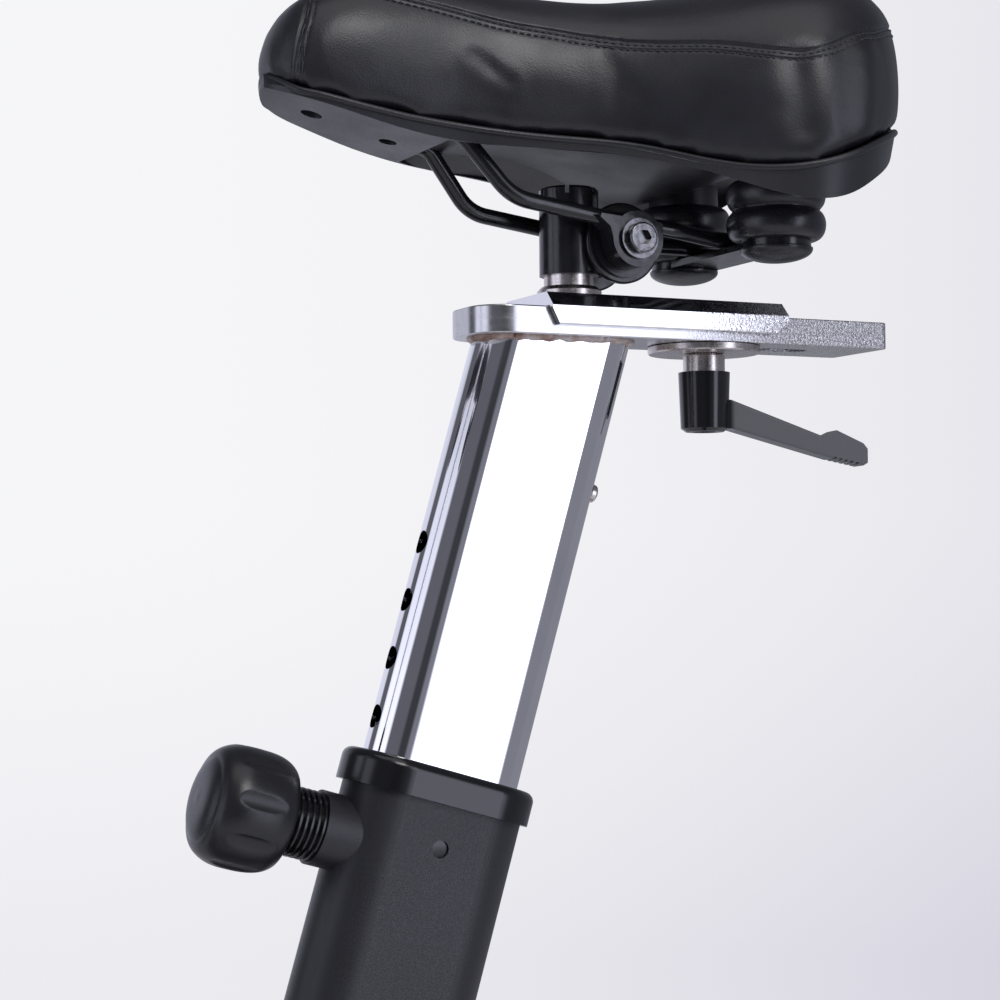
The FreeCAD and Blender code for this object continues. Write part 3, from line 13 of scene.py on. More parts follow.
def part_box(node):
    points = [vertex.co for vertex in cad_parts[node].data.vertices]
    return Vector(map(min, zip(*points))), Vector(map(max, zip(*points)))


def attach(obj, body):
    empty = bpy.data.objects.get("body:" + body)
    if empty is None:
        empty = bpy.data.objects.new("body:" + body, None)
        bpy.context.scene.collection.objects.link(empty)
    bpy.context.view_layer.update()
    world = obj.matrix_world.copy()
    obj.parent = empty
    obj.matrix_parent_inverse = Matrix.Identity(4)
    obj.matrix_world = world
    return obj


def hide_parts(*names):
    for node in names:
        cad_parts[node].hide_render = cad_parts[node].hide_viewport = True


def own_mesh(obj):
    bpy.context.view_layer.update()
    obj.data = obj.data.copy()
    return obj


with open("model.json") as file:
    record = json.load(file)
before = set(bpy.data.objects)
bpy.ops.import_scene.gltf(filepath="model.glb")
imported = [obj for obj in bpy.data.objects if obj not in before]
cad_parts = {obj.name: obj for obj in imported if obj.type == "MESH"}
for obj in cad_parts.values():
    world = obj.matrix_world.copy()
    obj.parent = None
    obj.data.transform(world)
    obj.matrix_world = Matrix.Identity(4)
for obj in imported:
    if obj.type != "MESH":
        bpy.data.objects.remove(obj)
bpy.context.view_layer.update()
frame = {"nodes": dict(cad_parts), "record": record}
NODES = frame["nodes"]

MM = 0.001
UP, ACROSS = Vector((0, 0, 1)), Vector((0, 1, 0))

# ---- Driving dimensions ------------------------------------------------------------------------

# The seat post's axis meets the slide plate's underside this far behind the plate's front edge.
PLATE_LEAD = 42.6 * MM
PLATE_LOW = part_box("slide_plate")[0]
SEAT = Vector((PLATE_LOW.x + PLATE_LEAD, 0, PLATE_LOW.z))

CAMERA_PLACE = Vector((-0.1471, -0.8721, 0.6858))
CAMERA_HEADING, CAMERA_PITCH, CAMERA_ROLL = 25.28, 2.08, -0.41
CAMERA_LENS = 81.65

FLOOR_RADIUS, FLOOR_FADE_START, FLOOR_FADE_END, FLOOR_GLOW = 3.0, 1.1, 2.3, 0.35

# The studio round the bike: how bright it is from each heading on, in degrees from -Y towards -X.
STUDIO = [
    (-180, 0.80), (-155, 0.26), (-74, 0.24), (-33, 2.8), (-16, 0.22), (2, 0.05), (25, 0.13), (68, 1.35),
    (113, 0.12), (144, 0.80),
]
STUDIO_SOFT = 3.5
STUDIO_TINT = (0.93, 0.95, 1.13)
WALL_TOP, CEILING_START, CEILING = 0.28, 0.62, 0.13

# The plain backdrop, by direction: light, and darker to the right and downwards.
BACKDROP_LIGHT, BACKDROP_DARK = (0.921, 0.921, 0.939), (0.672, 0.658, 0.740)
BACKDROP_SIDE, BACKDROP_TOP, BACKDROP_FOOT, BACKDROP_FALL = 0.215, 0.036, -0.16, 1.5
SHADE_ACROSS, SHADE_DOWN, SHADE_CORNER = 0.47, 0.33, 0.20

# Saddle cover: seams as points on its left side, in millimetres from SEAT, nose first.
PANEL_SEAM = [
    (-106, -12, 139), (-86, -22, 137), (-60, -28, 132), (-37, -35, 127), (-16, -42, 124), (5, -55, 121.5),
    (34, -75, 119), (59, -90, 113), (74, -95, 112.5), (96, -88, 120), (126, -72, 132), (146, -38, 137),
    (151, 0, 138),
]
NOSE_SEAM = [(-127, -20, 99), (-123, -19, 113), (-117, -15, 127), (-110, 0, 140)]
STITCH_LENGTH, STITCH_GAP, THREAD_R = 2.3 * MM, 0.8 * MM, 0.26 * MM
STITCH_ROWS = (1.3 * MM, 3.7 * MM)
VOXEL = 4 * MM
SWELL_CAP = 1.6 * MM
HEM_SOFT, HEM_R, HEM_STEP = 16 * MM, 1.5 * MM, 7 * MM
TUCK, TUCK_WIDE = 0.9 * MM, 4.5 * MM
# A point of the cover whose normal points down more than this is on its underside.
UNDERSIDE = -0.25
# The cover's middle, in millimetres from SEAT.
COVER_MIDDLE = (60, 0, 0)
# Folds in the cover's side: both ends in millimetres from SEAT, then depth and width.
CREASES = [
    ((-52, -36, 112), (-38, -40, 101), 0.55, 4.0),
    ((64, -96, 108), (67, -98, 80), 1.0, 9.0),
    ((97, -96, 112), (95, -97, 84), -0.9, 9.0),
    ((30, -72, 96), (58, -88, 88), 0.3, 8.0),
]

# ---- Mesh tools --------------------------------------------------------------------------------


def add(name, mesh):
    """A new object for that mesh, in the scene."""
    obj = bpy.data.objects.new(name, mesh)
    bpy.context.scene.collection.objects.link(obj)
    return obj


def smoothed(mesh):
    """Shades every face of a mesh smooth."""
    mesh.polygons.foreach_set("use_smooth", [True] * len(mesh.polygons))


def mesh_of(name, points, faces):
    """A new smooth mesh from points and faces."""
    mesh = bpy.data.meshes.new(name)
    mesh.from_pydata([tuple(p) for p in points], [], faces)
    smoothed(mesh)
    mesh.update()
    return mesh


def baked(obj):
    """Replaces an object's mesh by what its modifiers make of it."""
    graph = bpy.context.evaluated_depsgraph_get()
    mesh = bpy.data.meshes.new_from_object(obj.evaluated_get(graph))
    obj.modifiers.clear()
    obj.data = mesh
    return obj


def modified(obj, kind, **settings):
    """Adds one modifier and applies it."""
    modifier = obj.modifiers.new(kind.lower(), kind)
    for key, value in settings.items():
        setattr(modifier, key, value)
    return baked(obj)


def tree_of(places):
    """A search tree over points."""
    tree = KDTree(len(places))
    for i, place in enumerate(places):
        tree.insert(place, i)
    tree.balance()
    return tree


def displaced(obj, shift):
    """Moves each vertex along its normal by shift(its place)."""
    vertices = obj.data.vertices
    rest = [(v.co.copy(), v.normal.copy()) for v in vertices]
    vertices.foreach_set("co", [c for place, normal in rest for c in place + normal * shift(place)])
    obj.data.update()


def smooth_line(points, step):
    """Points about one step apart on a smooth line through the given points."""
    ends = [points[0] * 2 - points[1], *points, points[-1] * 2 - points[-2]]
    line = []
    for a, b, c, d in zip(ends, ends[1:], ends[2:], ends[3:]):
        count = max(1, round((c - b).length / step))
        for i in range(count):
            t = i / count
            line.append(0.5 * (2 * b + (c - a) * t + (2 * a - 5 * b + 4 * c - d) * t ** 2
                               + (3 * b - a - 3 * c + d) * t ** 3))
    return line + [points[-1]]


def tube(rings, closed_path):
    """Points and faces of a tube through rings of equal size."""
    size = len(rings[0])
    points = [p for ring in rings for p in ring]
    faces = []
    last = len(rings) if closed_path else len(rings) - 1
    for i in range(last):
        a, b = i * size, (i + 1) % len(rings) * size
        faces += [(a + j, a + (j + 1) % size, b + (j + 1) % size, b + j) for j in range(size)]
    if not closed_path:
        faces += [tuple(range(size))[::-1], tuple(range(len(points) - size, len(points)))]
    return points, faces


def lathe(name, profile, place, axis, sides):
    """A turned piece from (radius, height) points, along an axis from a place."""
    turn = axis.to_track_quat("Z", "Y")
    rings = [[place + turn @ Vector((r * math.cos(a), r * math.sin(a), z))
              for a in (2 * math.pi * i / sides for i in range(sides))] for r, z in profile]
    points, faces = tube(rings, False)
    return mesh_of(name, points, faces)


def joined(name, meshes):
    """One object from several meshes."""
    gathered = bmesh.new()
    for mesh in meshes:
        gathered.from_mesh(mesh)
    mesh = bpy.data.meshes.new(name)
    gathered.to_mesh(mesh)
    gathered.free()
    return add(name, mesh)


def islands(node):
    """The separate solids of a CAD node, as new meshes, in order of their size."""
    whole = bmesh.new()
    whole.from_mesh(NODES[node].data)
    bmesh.ops.remove_doubles(whole, verts=whole.verts, dist=1e-6)
    whole.verts.index_update()
    whole.faces.index_update()
    whole.faces.ensure_lookup_table()
    seen, found = set(), []
    for start in whole.verts:
        if start.index in seen:
            continue
        group, todo = [], [start]
        seen.add(start.index)
        while todo:
            here = todo.pop()
            group.append(here)
            for edge in here.link_edges:
                other = edge.other_vert(here)
                if other.index not in seen:
                    seen.add(other.index)
                    todo.append(other)
        order = {v.index: i for i, v in enumerate(group)}
        faces = sorted({f.index for v in group for f in v.link_faces})
        corners = [[order[v.index] for v in whole.faces[i].verts] for i in faces]
        found.append(([v.co.copy() for v in group], corners))
    whole.free()
    found.sort(key=lambda part: len(part[0]))
    return [mesh_of(f"{node}_part", points, faces) for points, faces in found]


def surface(mesh):
    """A search tree over a mesh, for the nearest point on it."""
    work = bmesh.new()
    work.from_mesh(mesh)
    tree = BVHTree.FromBMesh(work)
    work.free()
    return tree


def finished(obj, body, material, *replaced, slot=None):
    """Gives a new piece its material and its body, and hides the CAD nodes that it stands for."""
    obj.data.materials.clear()
    obj.data.materials.append(material)
    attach(obj, body)
    if replaced:
        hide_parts(*replaced)
    return obj


# ---- Material tools ----------------------------------------------------------------------------


class Graph:
    """A material's node tree, with one short call for each kind of node."""

    def __init__(self, name, **constants):
        self.material = bpy.data.materials.new(name)
        self.material.use_nodes = True
        self.nodes = self.material.node_tree.nodes
        self.links = self.material.node_tree.links
        self.shader = self.nodes["Principled BSDF"]
        self.place = self.nodes.new("ShaderNodeTexCoord").outputs["Object"]
        for name_, value in constants.items():
            self.give(name_.replace("_", " ").title().replace("Ior", "IOR"), value)

    def give(self, socket, value, node=None):
        """Links or sets one input of the shader, or of another node."""
        entry = (node or self.shader).inputs[socket]
        if isinstance(value, bpy.types.NodeSocket):
            self.links.new(value, entry)
        elif isinstance(value, tuple) and len(entry.default_value) == 4:
            entry.default_value = (*value, 1.0)
        else:
            entry.default_value = value

    def stretched(self, scale):
        """The place on the piece, squeezed along some axes."""
        node = self.nodes.new("ShaderNodeMapping")
        self.give("Vector", self.place, node)
        self.give("Scale", scale, node)
        return node.outputs[0]

    def noise(self, size, detail=2.0, stretch=(1.0, 1.0, 1.0)):
        """Smooth noise from 0 to 1, with blobs about that size."""
        node = self.nodes.new("ShaderNodeTexNoise")
        self.give("Vector", self.stretched(stretch), node)
        self.give("Scale", 1 / size, node)
        self.give("Detail", detail, node)
        return node.outputs[0]

    def cells(self, size, output="Distance"):
        """A cell pattern: each cell's distance from its middle, or its own colour."""
        node = self.nodes.new("ShaderNodeTexVoronoi")
        self.give("Vector", self.place, node)
        self.give("Scale", 1 / size, node)
        return node.outputs[output]

    def between(self, value, low, high, at_low=0.0, at_high=1.0):
        """Maps value from one range to another, and holds it at the ends."""
        node = self.nodes.new("ShaderNodeMapRange")
        for socket, item in zip(range(5), (value, low, high, at_low, at_high)):
            self.give(socket, item, node)
        return node.outputs[0]

    def math(self, operation, a, b=0.0):
        node = self.nodes.new("ShaderNodeMath")
        node.operation = operation
        self.give(0, a, node)
        self.give(1, b, node)
        return node.outputs[0]

    def ramp(self, value, *stops):
        """A colour for each value, from (position, colour) stops."""
        node = self.nodes.new("ShaderNodeValToRGB")
        self.give("Fac", value, node)
        elements = node.color_ramp.elements
        while len(elements) < len(stops):
            elements.new(0.5)
        for element, (position, colour) in zip(elements, stops):
            element.position = position
            element.color = (*colour, 1.0)
        return node.outputs[0]

    def mixed(self, share, a, b, blend="MIX"):
        """One colour mixed into another."""
        node = self.nodes.new("ShaderNodeMix")
        node.data_type = "RGBA"
        node.blend_type = blend
        for socket, item in ((0, share), (6, a), (7, b)):
            self.give(socket, item, node)
        return node.outputs[2]

    def bump(self, height, depth, under=None):
        """A normal from a height map that is depth metres deep."""
        node = self.nodes.new("ShaderNodeBump")
        self.give("Height", height, node)
        self.give("Distance", depth, node)
        if under:
            self.give("Normal", under, node)
        return node.outputs[0]

    def along(self, axis):
        """The place on one axis: 0, 1 or 2."""
        node = self.nodes.new("ShaderNodeSeparateXYZ")
        self.give(0, self.place, node)
        return node.outputs[axis]

    def reach(self, centre, flat):
        """The distance from a centre, measured across one axis."""
        keep = Vector((1, 1, 1)) - Vector(flat)
        shift = self.nodes.new("ShaderNodeVectorMath")
        shift.operation = "SUBTRACT"
        self.give(0, self.place, shift)
        self.give(1, centre, shift)
        squash = self.nodes.new("ShaderNodeVectorMath")
        squash.operation = "MULTIPLY"
        self.give(0, shift.outputs[0], squash)
        self.give(1, keep, squash)
        length = self.nodes.new("ShaderNodeVectorMath")
        length.operation = "LENGTH"
        self.give(0, squash.outputs[0], length)
        return length.outputs["Value"]


# ---- Materials ---------------------------------------------------------------------------------


def grey(value, blue=1.28):
    """A dark neutral with the slight blue of black paint and plastic."""
    return (value, value, value * blue)


def frame_black():
    """Fine-texture powder coat."""
    g = Graph("frame_black")
    grain = g.noise(0.55 * MM, 3.0)
    g.give("Base Color", g.ramp(g.noise(60 * MM), (0.3, grey(0.014)), (0.7, grey(0.020))))
    g.give("Roughness", g.between(grain, 0.3, 0.7, 0.33, 0.50))
    g.give("Normal", g.bump(grain, 0.035 * MM))
    return g.material


def chrome_plate():
    """Bright chrome with faint wipe marks and a soft wave in the metal."""
    g = Graph("chrome_plate", metallic=1.0)
    wipes = g.noise(9 * MM, 4.0, stretch=(1.0, 1.0, 0.12))
    g.give("Base Color", g.ramp(g.noise(45 * MM), (0.3, (0.80, 0.80, 0.82)), (0.7, (0.88, 0.88, 0.90))))
    g.give("Roughness", g.between(wipes, 0.45, 0.75, 0.035, 0.085))
    g.give("Normal", g.bump(g.noise(28 * MM), 0.05 * MM))
    return g.material


def spangled_plate(name, bright, rough):
    """Plated steel: cleaner at the front, and crystalline towards the rear."""
    g = Graph(name, metallic=1.0)
    clean_end, spangled_start = SEAT.x + 50 * MM, SEAT.x + 105 * MM
    rear = g.between(g.along(0), clean_end, spangled_start)
    crystal = g.math("MULTIPLY", g.cells(1.4 * MM, "Color"), rear)
    speck = g.noise(1.1 * MM, 2.0)
    brushed = g.noise(5 * MM, 4.0, stretch=(0.05, 1.0, 1.6))
    dull = g.math("MULTIPLY", g.between(speck, 0.35, 0.65), rear)
    clean = tuple(bright * c for c in (0.98, 0.98, 1.0))
    g.give("Base Color", g.ramp(dull, (0.0, clean), (1.0, tuple(0.62 * c for c in clean))))
    worn = g.math("ADD", g.math("ADD", crystal, dull), g.between(brushed, 0.4, 0.7, 0.0, 0.4))
    g.give("Roughness", g.between(worn, 0.0, 1.8, rough, 0.52))
    g.give("Normal", g.bump(g.math("MULTIPLY", speck, rear), 0.55 * MM))
    return g.material


def bolt_steel():
    """Black-oxide steel, rubbed brighter in random patches."""
    g = Graph("bolt_steel", metallic=1.0)
    rub = g.noise(2.5 * MM, 3.0)
    g.give("Base Color", g.ramp(rub, (0.35, grey(0.08, 1.04)), (0.70, grey(0.24, 1.04))))
    g.give("Roughness", g.between(rub, 0.3, 0.7, 0.16, 0.30))
    g.give("Normal", g.bump(g.noise(0.6 * MM), 0.01 * MM))
    return g.material


def nickel_steel():
    """Turned, nickel-plated steel, a little warm."""
    g = Graph("nickel_steel", metallic=1.0)
    g.give("Base Color", g.ramp(g.noise(12 * MM), (0.3, (0.50, 0.46, 0.44)), (0.7, (0.66, 0.62, 0.60))))
    g.give("Roughness", g.between(g.noise(1.5 * MM, 3.0), 0.3, 0.7, 0.20, 0.32))
    g.give("Normal", g.bump(g.noise(0.5 * MM), 0.01 * MM))
    return g.material


def weld_metal():
    """A raw bead with heat tint and scale, under thin plating."""
    g = Graph("weld_metal", metallic=0.75)
    scale = g.noise(1.6 * MM, 4.0)
    tint = g.noise(7 * MM, 3.0)
    rust, straw, bright = (0.20, 0.12, 0.09), (0.46, 0.34, 0.30), (0.60, 0.56, 0.55)
    g.give("Base Color", g.ramp(tint, (0.32, rust), (0.5, straw), (0.68, bright)))
    g.give("Roughness", g.between(scale, 0.3, 0.7, 0.35, 0.75))
    g.give("Normal", g.bump(scale, 0.5 * MM))
    return g.material


def bracket_black():
    """Glossy black paint on forged and stamped steel."""
    g = Graph("bracket_black")
    g.give("Base Color", g.ramp(g.noise(20 * MM), (0.3, grey(0.007)), (0.7, grey(0.011))))
    g.give("Roughness", g.between(g.noise(4 * MM, 3.0), 0.3, 0.7, 0.13, 0.26))
    g.give("Normal", g.bump(g.noise(3 * MM, 2.0), 0.04 * MM))
    return g.material


def flywheel_iron():
    """A painted web inside a machined rim, which shows fine turning marks."""
    low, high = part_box("flywheel_disc")
    centre = (low + high) / 2
    radius = (high.x - low.x) / 2
    g = Graph("flywheel_iron")
    out = g.reach(centre, ACROSS)
    web_end, rim_start = radius - 9 * MM, radius - 8 * MM
    rim = g.between(out, web_end, rim_start)
    turning_pitch = 0.9 * MM
    turning = g.math("SINE", g.math("MULTIPLY", out, 2 * math.pi / turning_pitch))
    cast = g.noise(2.2 * MM, 3.0)
    g.give("Metallic", rim)
    g.give("Base Color", g.ramp(rim, (0.0, grey(0.030)), (1.0, (0.62, 0.62, 0.63))))
    g.give("Roughness", g.between(rim, 0.0, 1.0, 0.42, 0.24))
    plain = g.math("MULTIPLY", cast, g.math("SUBTRACT", 1.0, rim))
    marks = g.math("MULTIPLY", g.math("MULTIPLY", turning, 0.05), rim)
    g.give("Normal", g.bump(g.math("ADD", plain, marks), 0.12 * MM))
    return g.material


def alloy_arm():
    """Satin black paint with a soft orange peel."""
    g = Graph("alloy_arm")
    g.give("Base Color", g.ramp(g.noise(30 * MM), (0.3, grey(0.012)), (0.7, grey(0.018))))
    g.give("Roughness", g.between(g.noise(5 * MM, 3.0), 0.3, 0.7, 0.26, 0.38))
    g.give("Normal", g.bump(g.noise(1.8 * MM, 2.0), 0.03 * MM))
    return g.material


def plastic(name, shade, rough, grain, depth):
    """Moulded plastic: its spark-eroded grain, and slight sheen changes."""
    g = Graph(name)
    texture = g.noise(grain, 3.0)
    g.give("Base Color", g.ramp(g.noise(25 * MM), (0.3, grey(shade * 0.86)), (0.7, grey(shade * 1.14))))
    sheen = g.math("ADD", texture, g.noise(18 * MM))
    g.give("Roughness", g.between(sheen, 0.6, 1.4, rough - 0.07, rough + 0.07))
    g.give("Normal", g.bump(texture, depth))
    return g.material


def bushing_plastic():
    """A polished collar, and duller snap studs that hold its skirt in the seat tube; the studs' colour is
    also darkened, as painted shade of the recess that they sit in.
    """
    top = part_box("seat_tube_bushing")[1].z
    studs_end, collar_start = top - 46 * MM, top - 40 * MM
    g = Graph("bushing_plastic")
    stud_dull_and_shade = g.between(g.along(2), studs_end, collar_start, 1.0, 0.0)
    wave = g.noise(3 * MM, 3.0)
    # Painted shade: below the collar the colour is darker, for the shade in the recess round each stud; the
    # duller roughness there is real.
    g.give("Base Color", g.ramp(stud_dull_and_shade, (0.0, grey(0.008)), (1.0, grey(0.004))))
    g.give("Roughness", g.between(stud_dull_and_shade, 0.0, 1.0, 0.20, 0.62))
    g.give("Normal", g.bump(wave, 0.02 * MM))
    return g.material


def cap_plastic():
    return plastic("cap_plastic", 0.014, 0.44, 0.8 * MM, 0.05 * MM)


def knob_plastic():
    return plastic("knob_plastic", 0.012, 0.33, 0.7 * MM, 0.03 * MM)


def lever_plastic():
    """Moulded nylon: polished on the hub, and satin on the arm, whose colour is painted far lighter than the
    hub's as painted light on its flat face.
    """
    low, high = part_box("clamp_washer")
    hub_radius, arm_start = 12 * MM, 14 * MM
    g = Graph("lever_plastic")
    arm = g.between(g.reach((low + high) / 2, UP), hub_radius, arm_start)
    grain = g.noise(0.6 * MM, 3.0)
    # Painted light: the arm is coloured much lighter than the hub, for the light that falls on its flat face;
    # the nylon itself is one colour.
    g.give("Base Color", g.ramp(arm, (0.0, grey(0.008)), (1.0, grey(0.110, 1.08))))
    g.give("Roughness", g.between(arm, 0.0, 1.0, 0.14, 0.40))
    g.give("Normal", g.bump(g.math("MULTIPLY", grain, arm), 0.03 * MM))
    return g.material


def guard_plastic():
    return plastic("guard_plastic", 0.016, 0.45, 1.3 * MM, 0.10 * MM)


def shell_plastic():
    return plastic("shell_plastic", 0.016, 0.38, 0.9 * MM, 0.03 * MM)


def pedal_plastic():
    return plastic("pedal_plastic", 0.014, 0.50, 0.9 * MM, 0.06 * MM)


def elastomer():
    return plastic("elastomer", 0.014, 0.30, 1.4 * MM, 0.03 * MM)


def belt_rubber():
    return plastic("belt_rubber", 0.012, 0.62, 0.8 * MM, 0.06 * MM)


def grip_foam():
    """Closed-cell foam."""
    g = Graph("grip_foam", sheen_weight=0.25, sheen_roughness=0.5)
    pores = g.cells(0.9 * MM)
    g.give("Base Color", g.ramp(g.noise(14 * MM, 3.0), (0.3, grey(0.022)), (0.7, grey(0.034))))
    g.give("Roughness", g.between(pores, 0.0, 0.6, 0.92, 0.74))
    g.give("Normal", g.bump(pores, 0.22 * MM))
    return g.material


def foot_rubber():
    """A rubber foot, with the steel nut and stud that stand in it."""
    nut_height = 14.5 * MM
    g = Graph("foot_rubber")
    steel = g.between(g.along(2), nut_height, nut_height + 0.3 * MM)
    grain = g.noise(1.0 * MM, 3.0)
    g.give("Metallic", steel)
    g.give("Base Color", g.ramp(steel, (0.0, grey(0.022)), (1.0, (0.58, 0.57, 0.56))))
    g.give("Roughness", g.between(steel, 0.0, 1.0, 0.72, 0.27))
    g.give("Normal", g.bump(grain, 0.05 * MM))
    return g.material


def roller_plastic():
    """A hard wheel with a softer, duller tread."""
    low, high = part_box("transport_wheel_left")
    centre = (low + high) / 2
    radius = (high.x - low.x) / 2
    g = Graph("roller_plastic")
    wheel_end, tread_start = radius - 6 * MM, radius - 5 * MM
    tread = g.between(g.reach(centre, ACROSS), wheel_end, tread_start)
    grain = g.noise(1.2 * MM, 3.0)
    g.give("Base Color", g.ramp(tread, (0.0, grey(0.050)), (1.0, grey(0.020))))
    g.give("Roughness", g.between(tread, 0.0, 1.0, 0.36, 0.68))
    g.give("Normal", g.bump(grain, 0.06 * MM))
    return g.material


def brake_felt():
    """Pressed wool felt, its tone mottled along the fibres."""
    g = Graph("brake_felt", sheen_weight=0.5, sheen_roughness=0.6)
    fibres = g.noise(0.6 * MM, 5.0, stretch=(1.0, 0.4, 1.0))
    g.give("Base Color", g.ramp(fibres, (0.3, (0.19, 0.17, 0.14)), (0.7, (0.36, 0.33, 0.28))))
    g.give("Roughness", g.between(fibres, 0.3, 0.7, 0.86, 0.97))
    g.give("Normal", g.bump(fibres, 0.4 * MM))
    return g.material


def strap_web():
    """Woven polyester webbing: two crossed rows of yarn."""
    g = Graph("strap_web", sheen_weight=0.3, sheen_roughness=0.4)
    yarn = 2 * math.pi / (1.5 * MM)
    warp = g.math("SINE", g.math("MULTIPLY", g.along(0), yarn))
    weft = g.math("SINE", g.math("MULTIPLY", g.math("ADD", g.along(2), g.along(1)), yarn))
    weave = g.math("MAXIMUM", g.math("ABSOLUTE", warp), g.math("ABSOLUTE", weft))
    g.give("Base Color", g.ramp(weave, (0.3, grey(0.014)), (1.0, grey(0.036))))
    g.give("Roughness", g.between(weave, 0.0, 1.0, 0.85, 0.68))
    g.give("Normal", g.bump(weave, 0.25 * MM))
    return g.material


def saddle_cover():
    """Soft black polyurethane: a fine, shallow grain, and a satin that changes slowly over the saddle."""
    g = Graph("saddle_cover", specular_ior_level=0.5)
    grain = g.cells(0.75 * MM)
    stretch = g.noise(34 * MM, 3.0)
    g.give("Base Color", g.ramp(stretch, (0.3, grey(0.012)), (0.7, grey(0.016))))
    g.give("Roughness", g.between(stretch, 0.3, 0.7, 0.33, 0.44))
    fine = g.bump(grain, 0.035 * MM)
    g.give("Normal", g.bump(g.noise(9 * MM, 3.0), 0.12 * MM, fine))
    return g.material


def thread():
    """Twisted black sewing thread."""
    g = Graph("thread", sheen_weight=0.2)
    twist = g.noise(0.35 * MM, 2.0)
    g.give("Base Color", g.ramp(twist, (0.3, grey(0.014)), (0.7, grey(0.045))))
    g.give("Roughness", g.between(twist, 0.3, 0.7, 0.45, 0.62))
    g.give("Normal", g.bump(twist, 0.08 * MM))
    return g.material


MAKERS = (
    frame_black, chrome_plate, nickel_steel, weld_metal, bracket_black, flywheel_iron, alloy_arm,
    bushing_plastic, cap_plastic, knob_plastic, lever_plastic, guard_plastic, shell_plastic, pedal_plastic,
    elastomer, foot_rubber, belt_rubber, grip_foam, brake_felt, strap_web, saddle_cover, bolt_steel, thread,
    roller_plastic,
)
MATERIALS = {make.__name__: make() for make in MAKERS}
MATERIALS["slide_plate"] = spangled_plate("slide_plate_zinc", 0.58, 0.22)
MATERIALS["slider_channel"] = spangled_plate("slider_zinc", 0.84, 0.05)
# Nodes with a finish of their own. All others have the material that their slot is named after.
NODE_FINISH = {
    "slide_plate": "slide_plate", "slider_channel": "slider_channel", "clamp_bolt": "bolt_steel",
    "transport_wheel_left": "roller_plastic", "transport_wheel_right": "roller_plastic",
}


def finish_nodes():
    """Gives each CAD node the material of its slot, or its own."""
    for part in frame["record"]["subparts"]:
        node = NODES[part["node"]]
        material = MATERIALS[NODE_FINISH.get(part["node"], part["material_slot"])]
        if not node.material_slots:
            node.data.materials.append(material)
        for place in node.material_slots:
            place.material = material


# ---- Saddle cover ------------------------------------------------------------------------------


def at_seat(point):
    """A point in millimetres from SEAT, in the model's frame."""
    return SEAT + Vector(point) * MM


def swollen(obj):
    """Lets the cover's cloth swell over its foam by SWELL_CAP at most, held at its lower rim."""
    rest = [v.co.copy() for v in obj.data.vertices]
    held = obj.vertex_groups.new(name="held")
    normals = [v.normal.z for v in obj.data.vertices]
    held.add([i for i, up in enumerate(normals) if up < UNDERSIDE], 1.0, "REPLACE")
    cloth = obj.modifiers.new("cloth", "CLOTH")
    cloth.settings.vertex_group_mass = held.name
    cloth.settings.use_pressure = True
    cloth.settings.uniform_pressure_force = 4.0
    cloth.settings.effector_weights.gravity = 0.0
    cloth.settings.tension_stiffness = 40.0
    cloth.settings.compression_stiffness = 40.0
    cloth.settings.bending_stiffness = 2.0
    for step in range(1, 21):
        bpy.context.scene.frame_set(step)
    baked(obj)
    hem = tree_of([start for start, up in zip(rest, normals) if up < UNDERSIDE])
    capped = []
    for start, vertex in zip(rest, obj.data.vertices):
        move = vertex.co - start
        share = min(1.0, hem.find(start)[2] / HEM_SOFT) ** 2
        capped.append(start + move * share * min(1.0, SWELL_CAP / max(move.length, 1e-9)))
    obj.data.vertices.foreach_set("co", [c for place in capped for c in place])
    obj.data.update()
    bpy.context.scene.frame_set(1)
    return obj


def hem_line():
    """The cover's lower edge, as evenly spaced points round it."""
    work = bmesh.new()
    work.from_mesh(NODES["saddle_cushion"].data)
    bmesh.ops.remove_doubles(work, verts=work.verts, dist=1e-6)
    flat_under, turned_up = -0.75, -0.6
    middle = at_seat(COVER_MIDDLE)
    around = {}
    for edge in work.edges:
        slopes = sorted(face.normal.z for face in edge.link_faces)
        if slopes[0] < flat_under and slopes[-1] > turned_up:
            for place in (vertex.co.copy() for vertex in edge.verts):
                around[math.atan2(place.y, middle.x - place.x)] = place
    work.free()
    edge_points = [around[turn] for turn in sorted(around)]
    spaced = [edge_points[0]]
    for place in edge_points[1:] + edge_points[:1]:
        last = spaced[-1]
        gap = (place - last).length
        if gap > HEM_STEP:
            count = max(1, int(gap / (1.5 * HEM_STEP)))
            spaced += [last.lerp(place, (k + 1) / count) for k in range(count)]
    return spaced


def hem_path():
    """The same edge as one smooth line, which goes on a little past its start."""
    loop = hem_line()
    return smooth_line(loop[-2:] + loop + loop[:2], 1.5 * MM)


def tucked(obj):
    """Draws the cover in along its lower edge, so that the rolled hem stands a little proud."""
    near = tree_of(hem_path())
    displaced(obj, lambda place: -TUCK * bell(near.find(place)[2], TUCK_WIDE))


def make_hem():
    """The rolled edge where the cover is drawn under the shell."""
    line = hem_path()
    middle = at_seat(COVER_MIDDLE)
    sides, sunk = 12, 0.55
    rings = []
    for before, here, after in zip(line, line[1:], line[2:]):
        out = Vector((here.x - middle.x, here.y, 0)).normalized()
        along = (after - before).normalized()
        out = (out - along * out.dot(along)).normalized()
        up = along.cross(out)
        rings.append([here + (out * math.cos(a) + up * math.sin(a)) * HEM_R - out * HEM_R * sunk
                      for a in (2 * math.pi * k / sides for k in range(sides))])
    points, faces = tube(rings, False)
    finished(add("saddle_cover_hem", mesh_of("saddle_cover_hem", points, faces)), "saddle",
             MATERIALS["saddle_cover"], slot="saddle_cover")


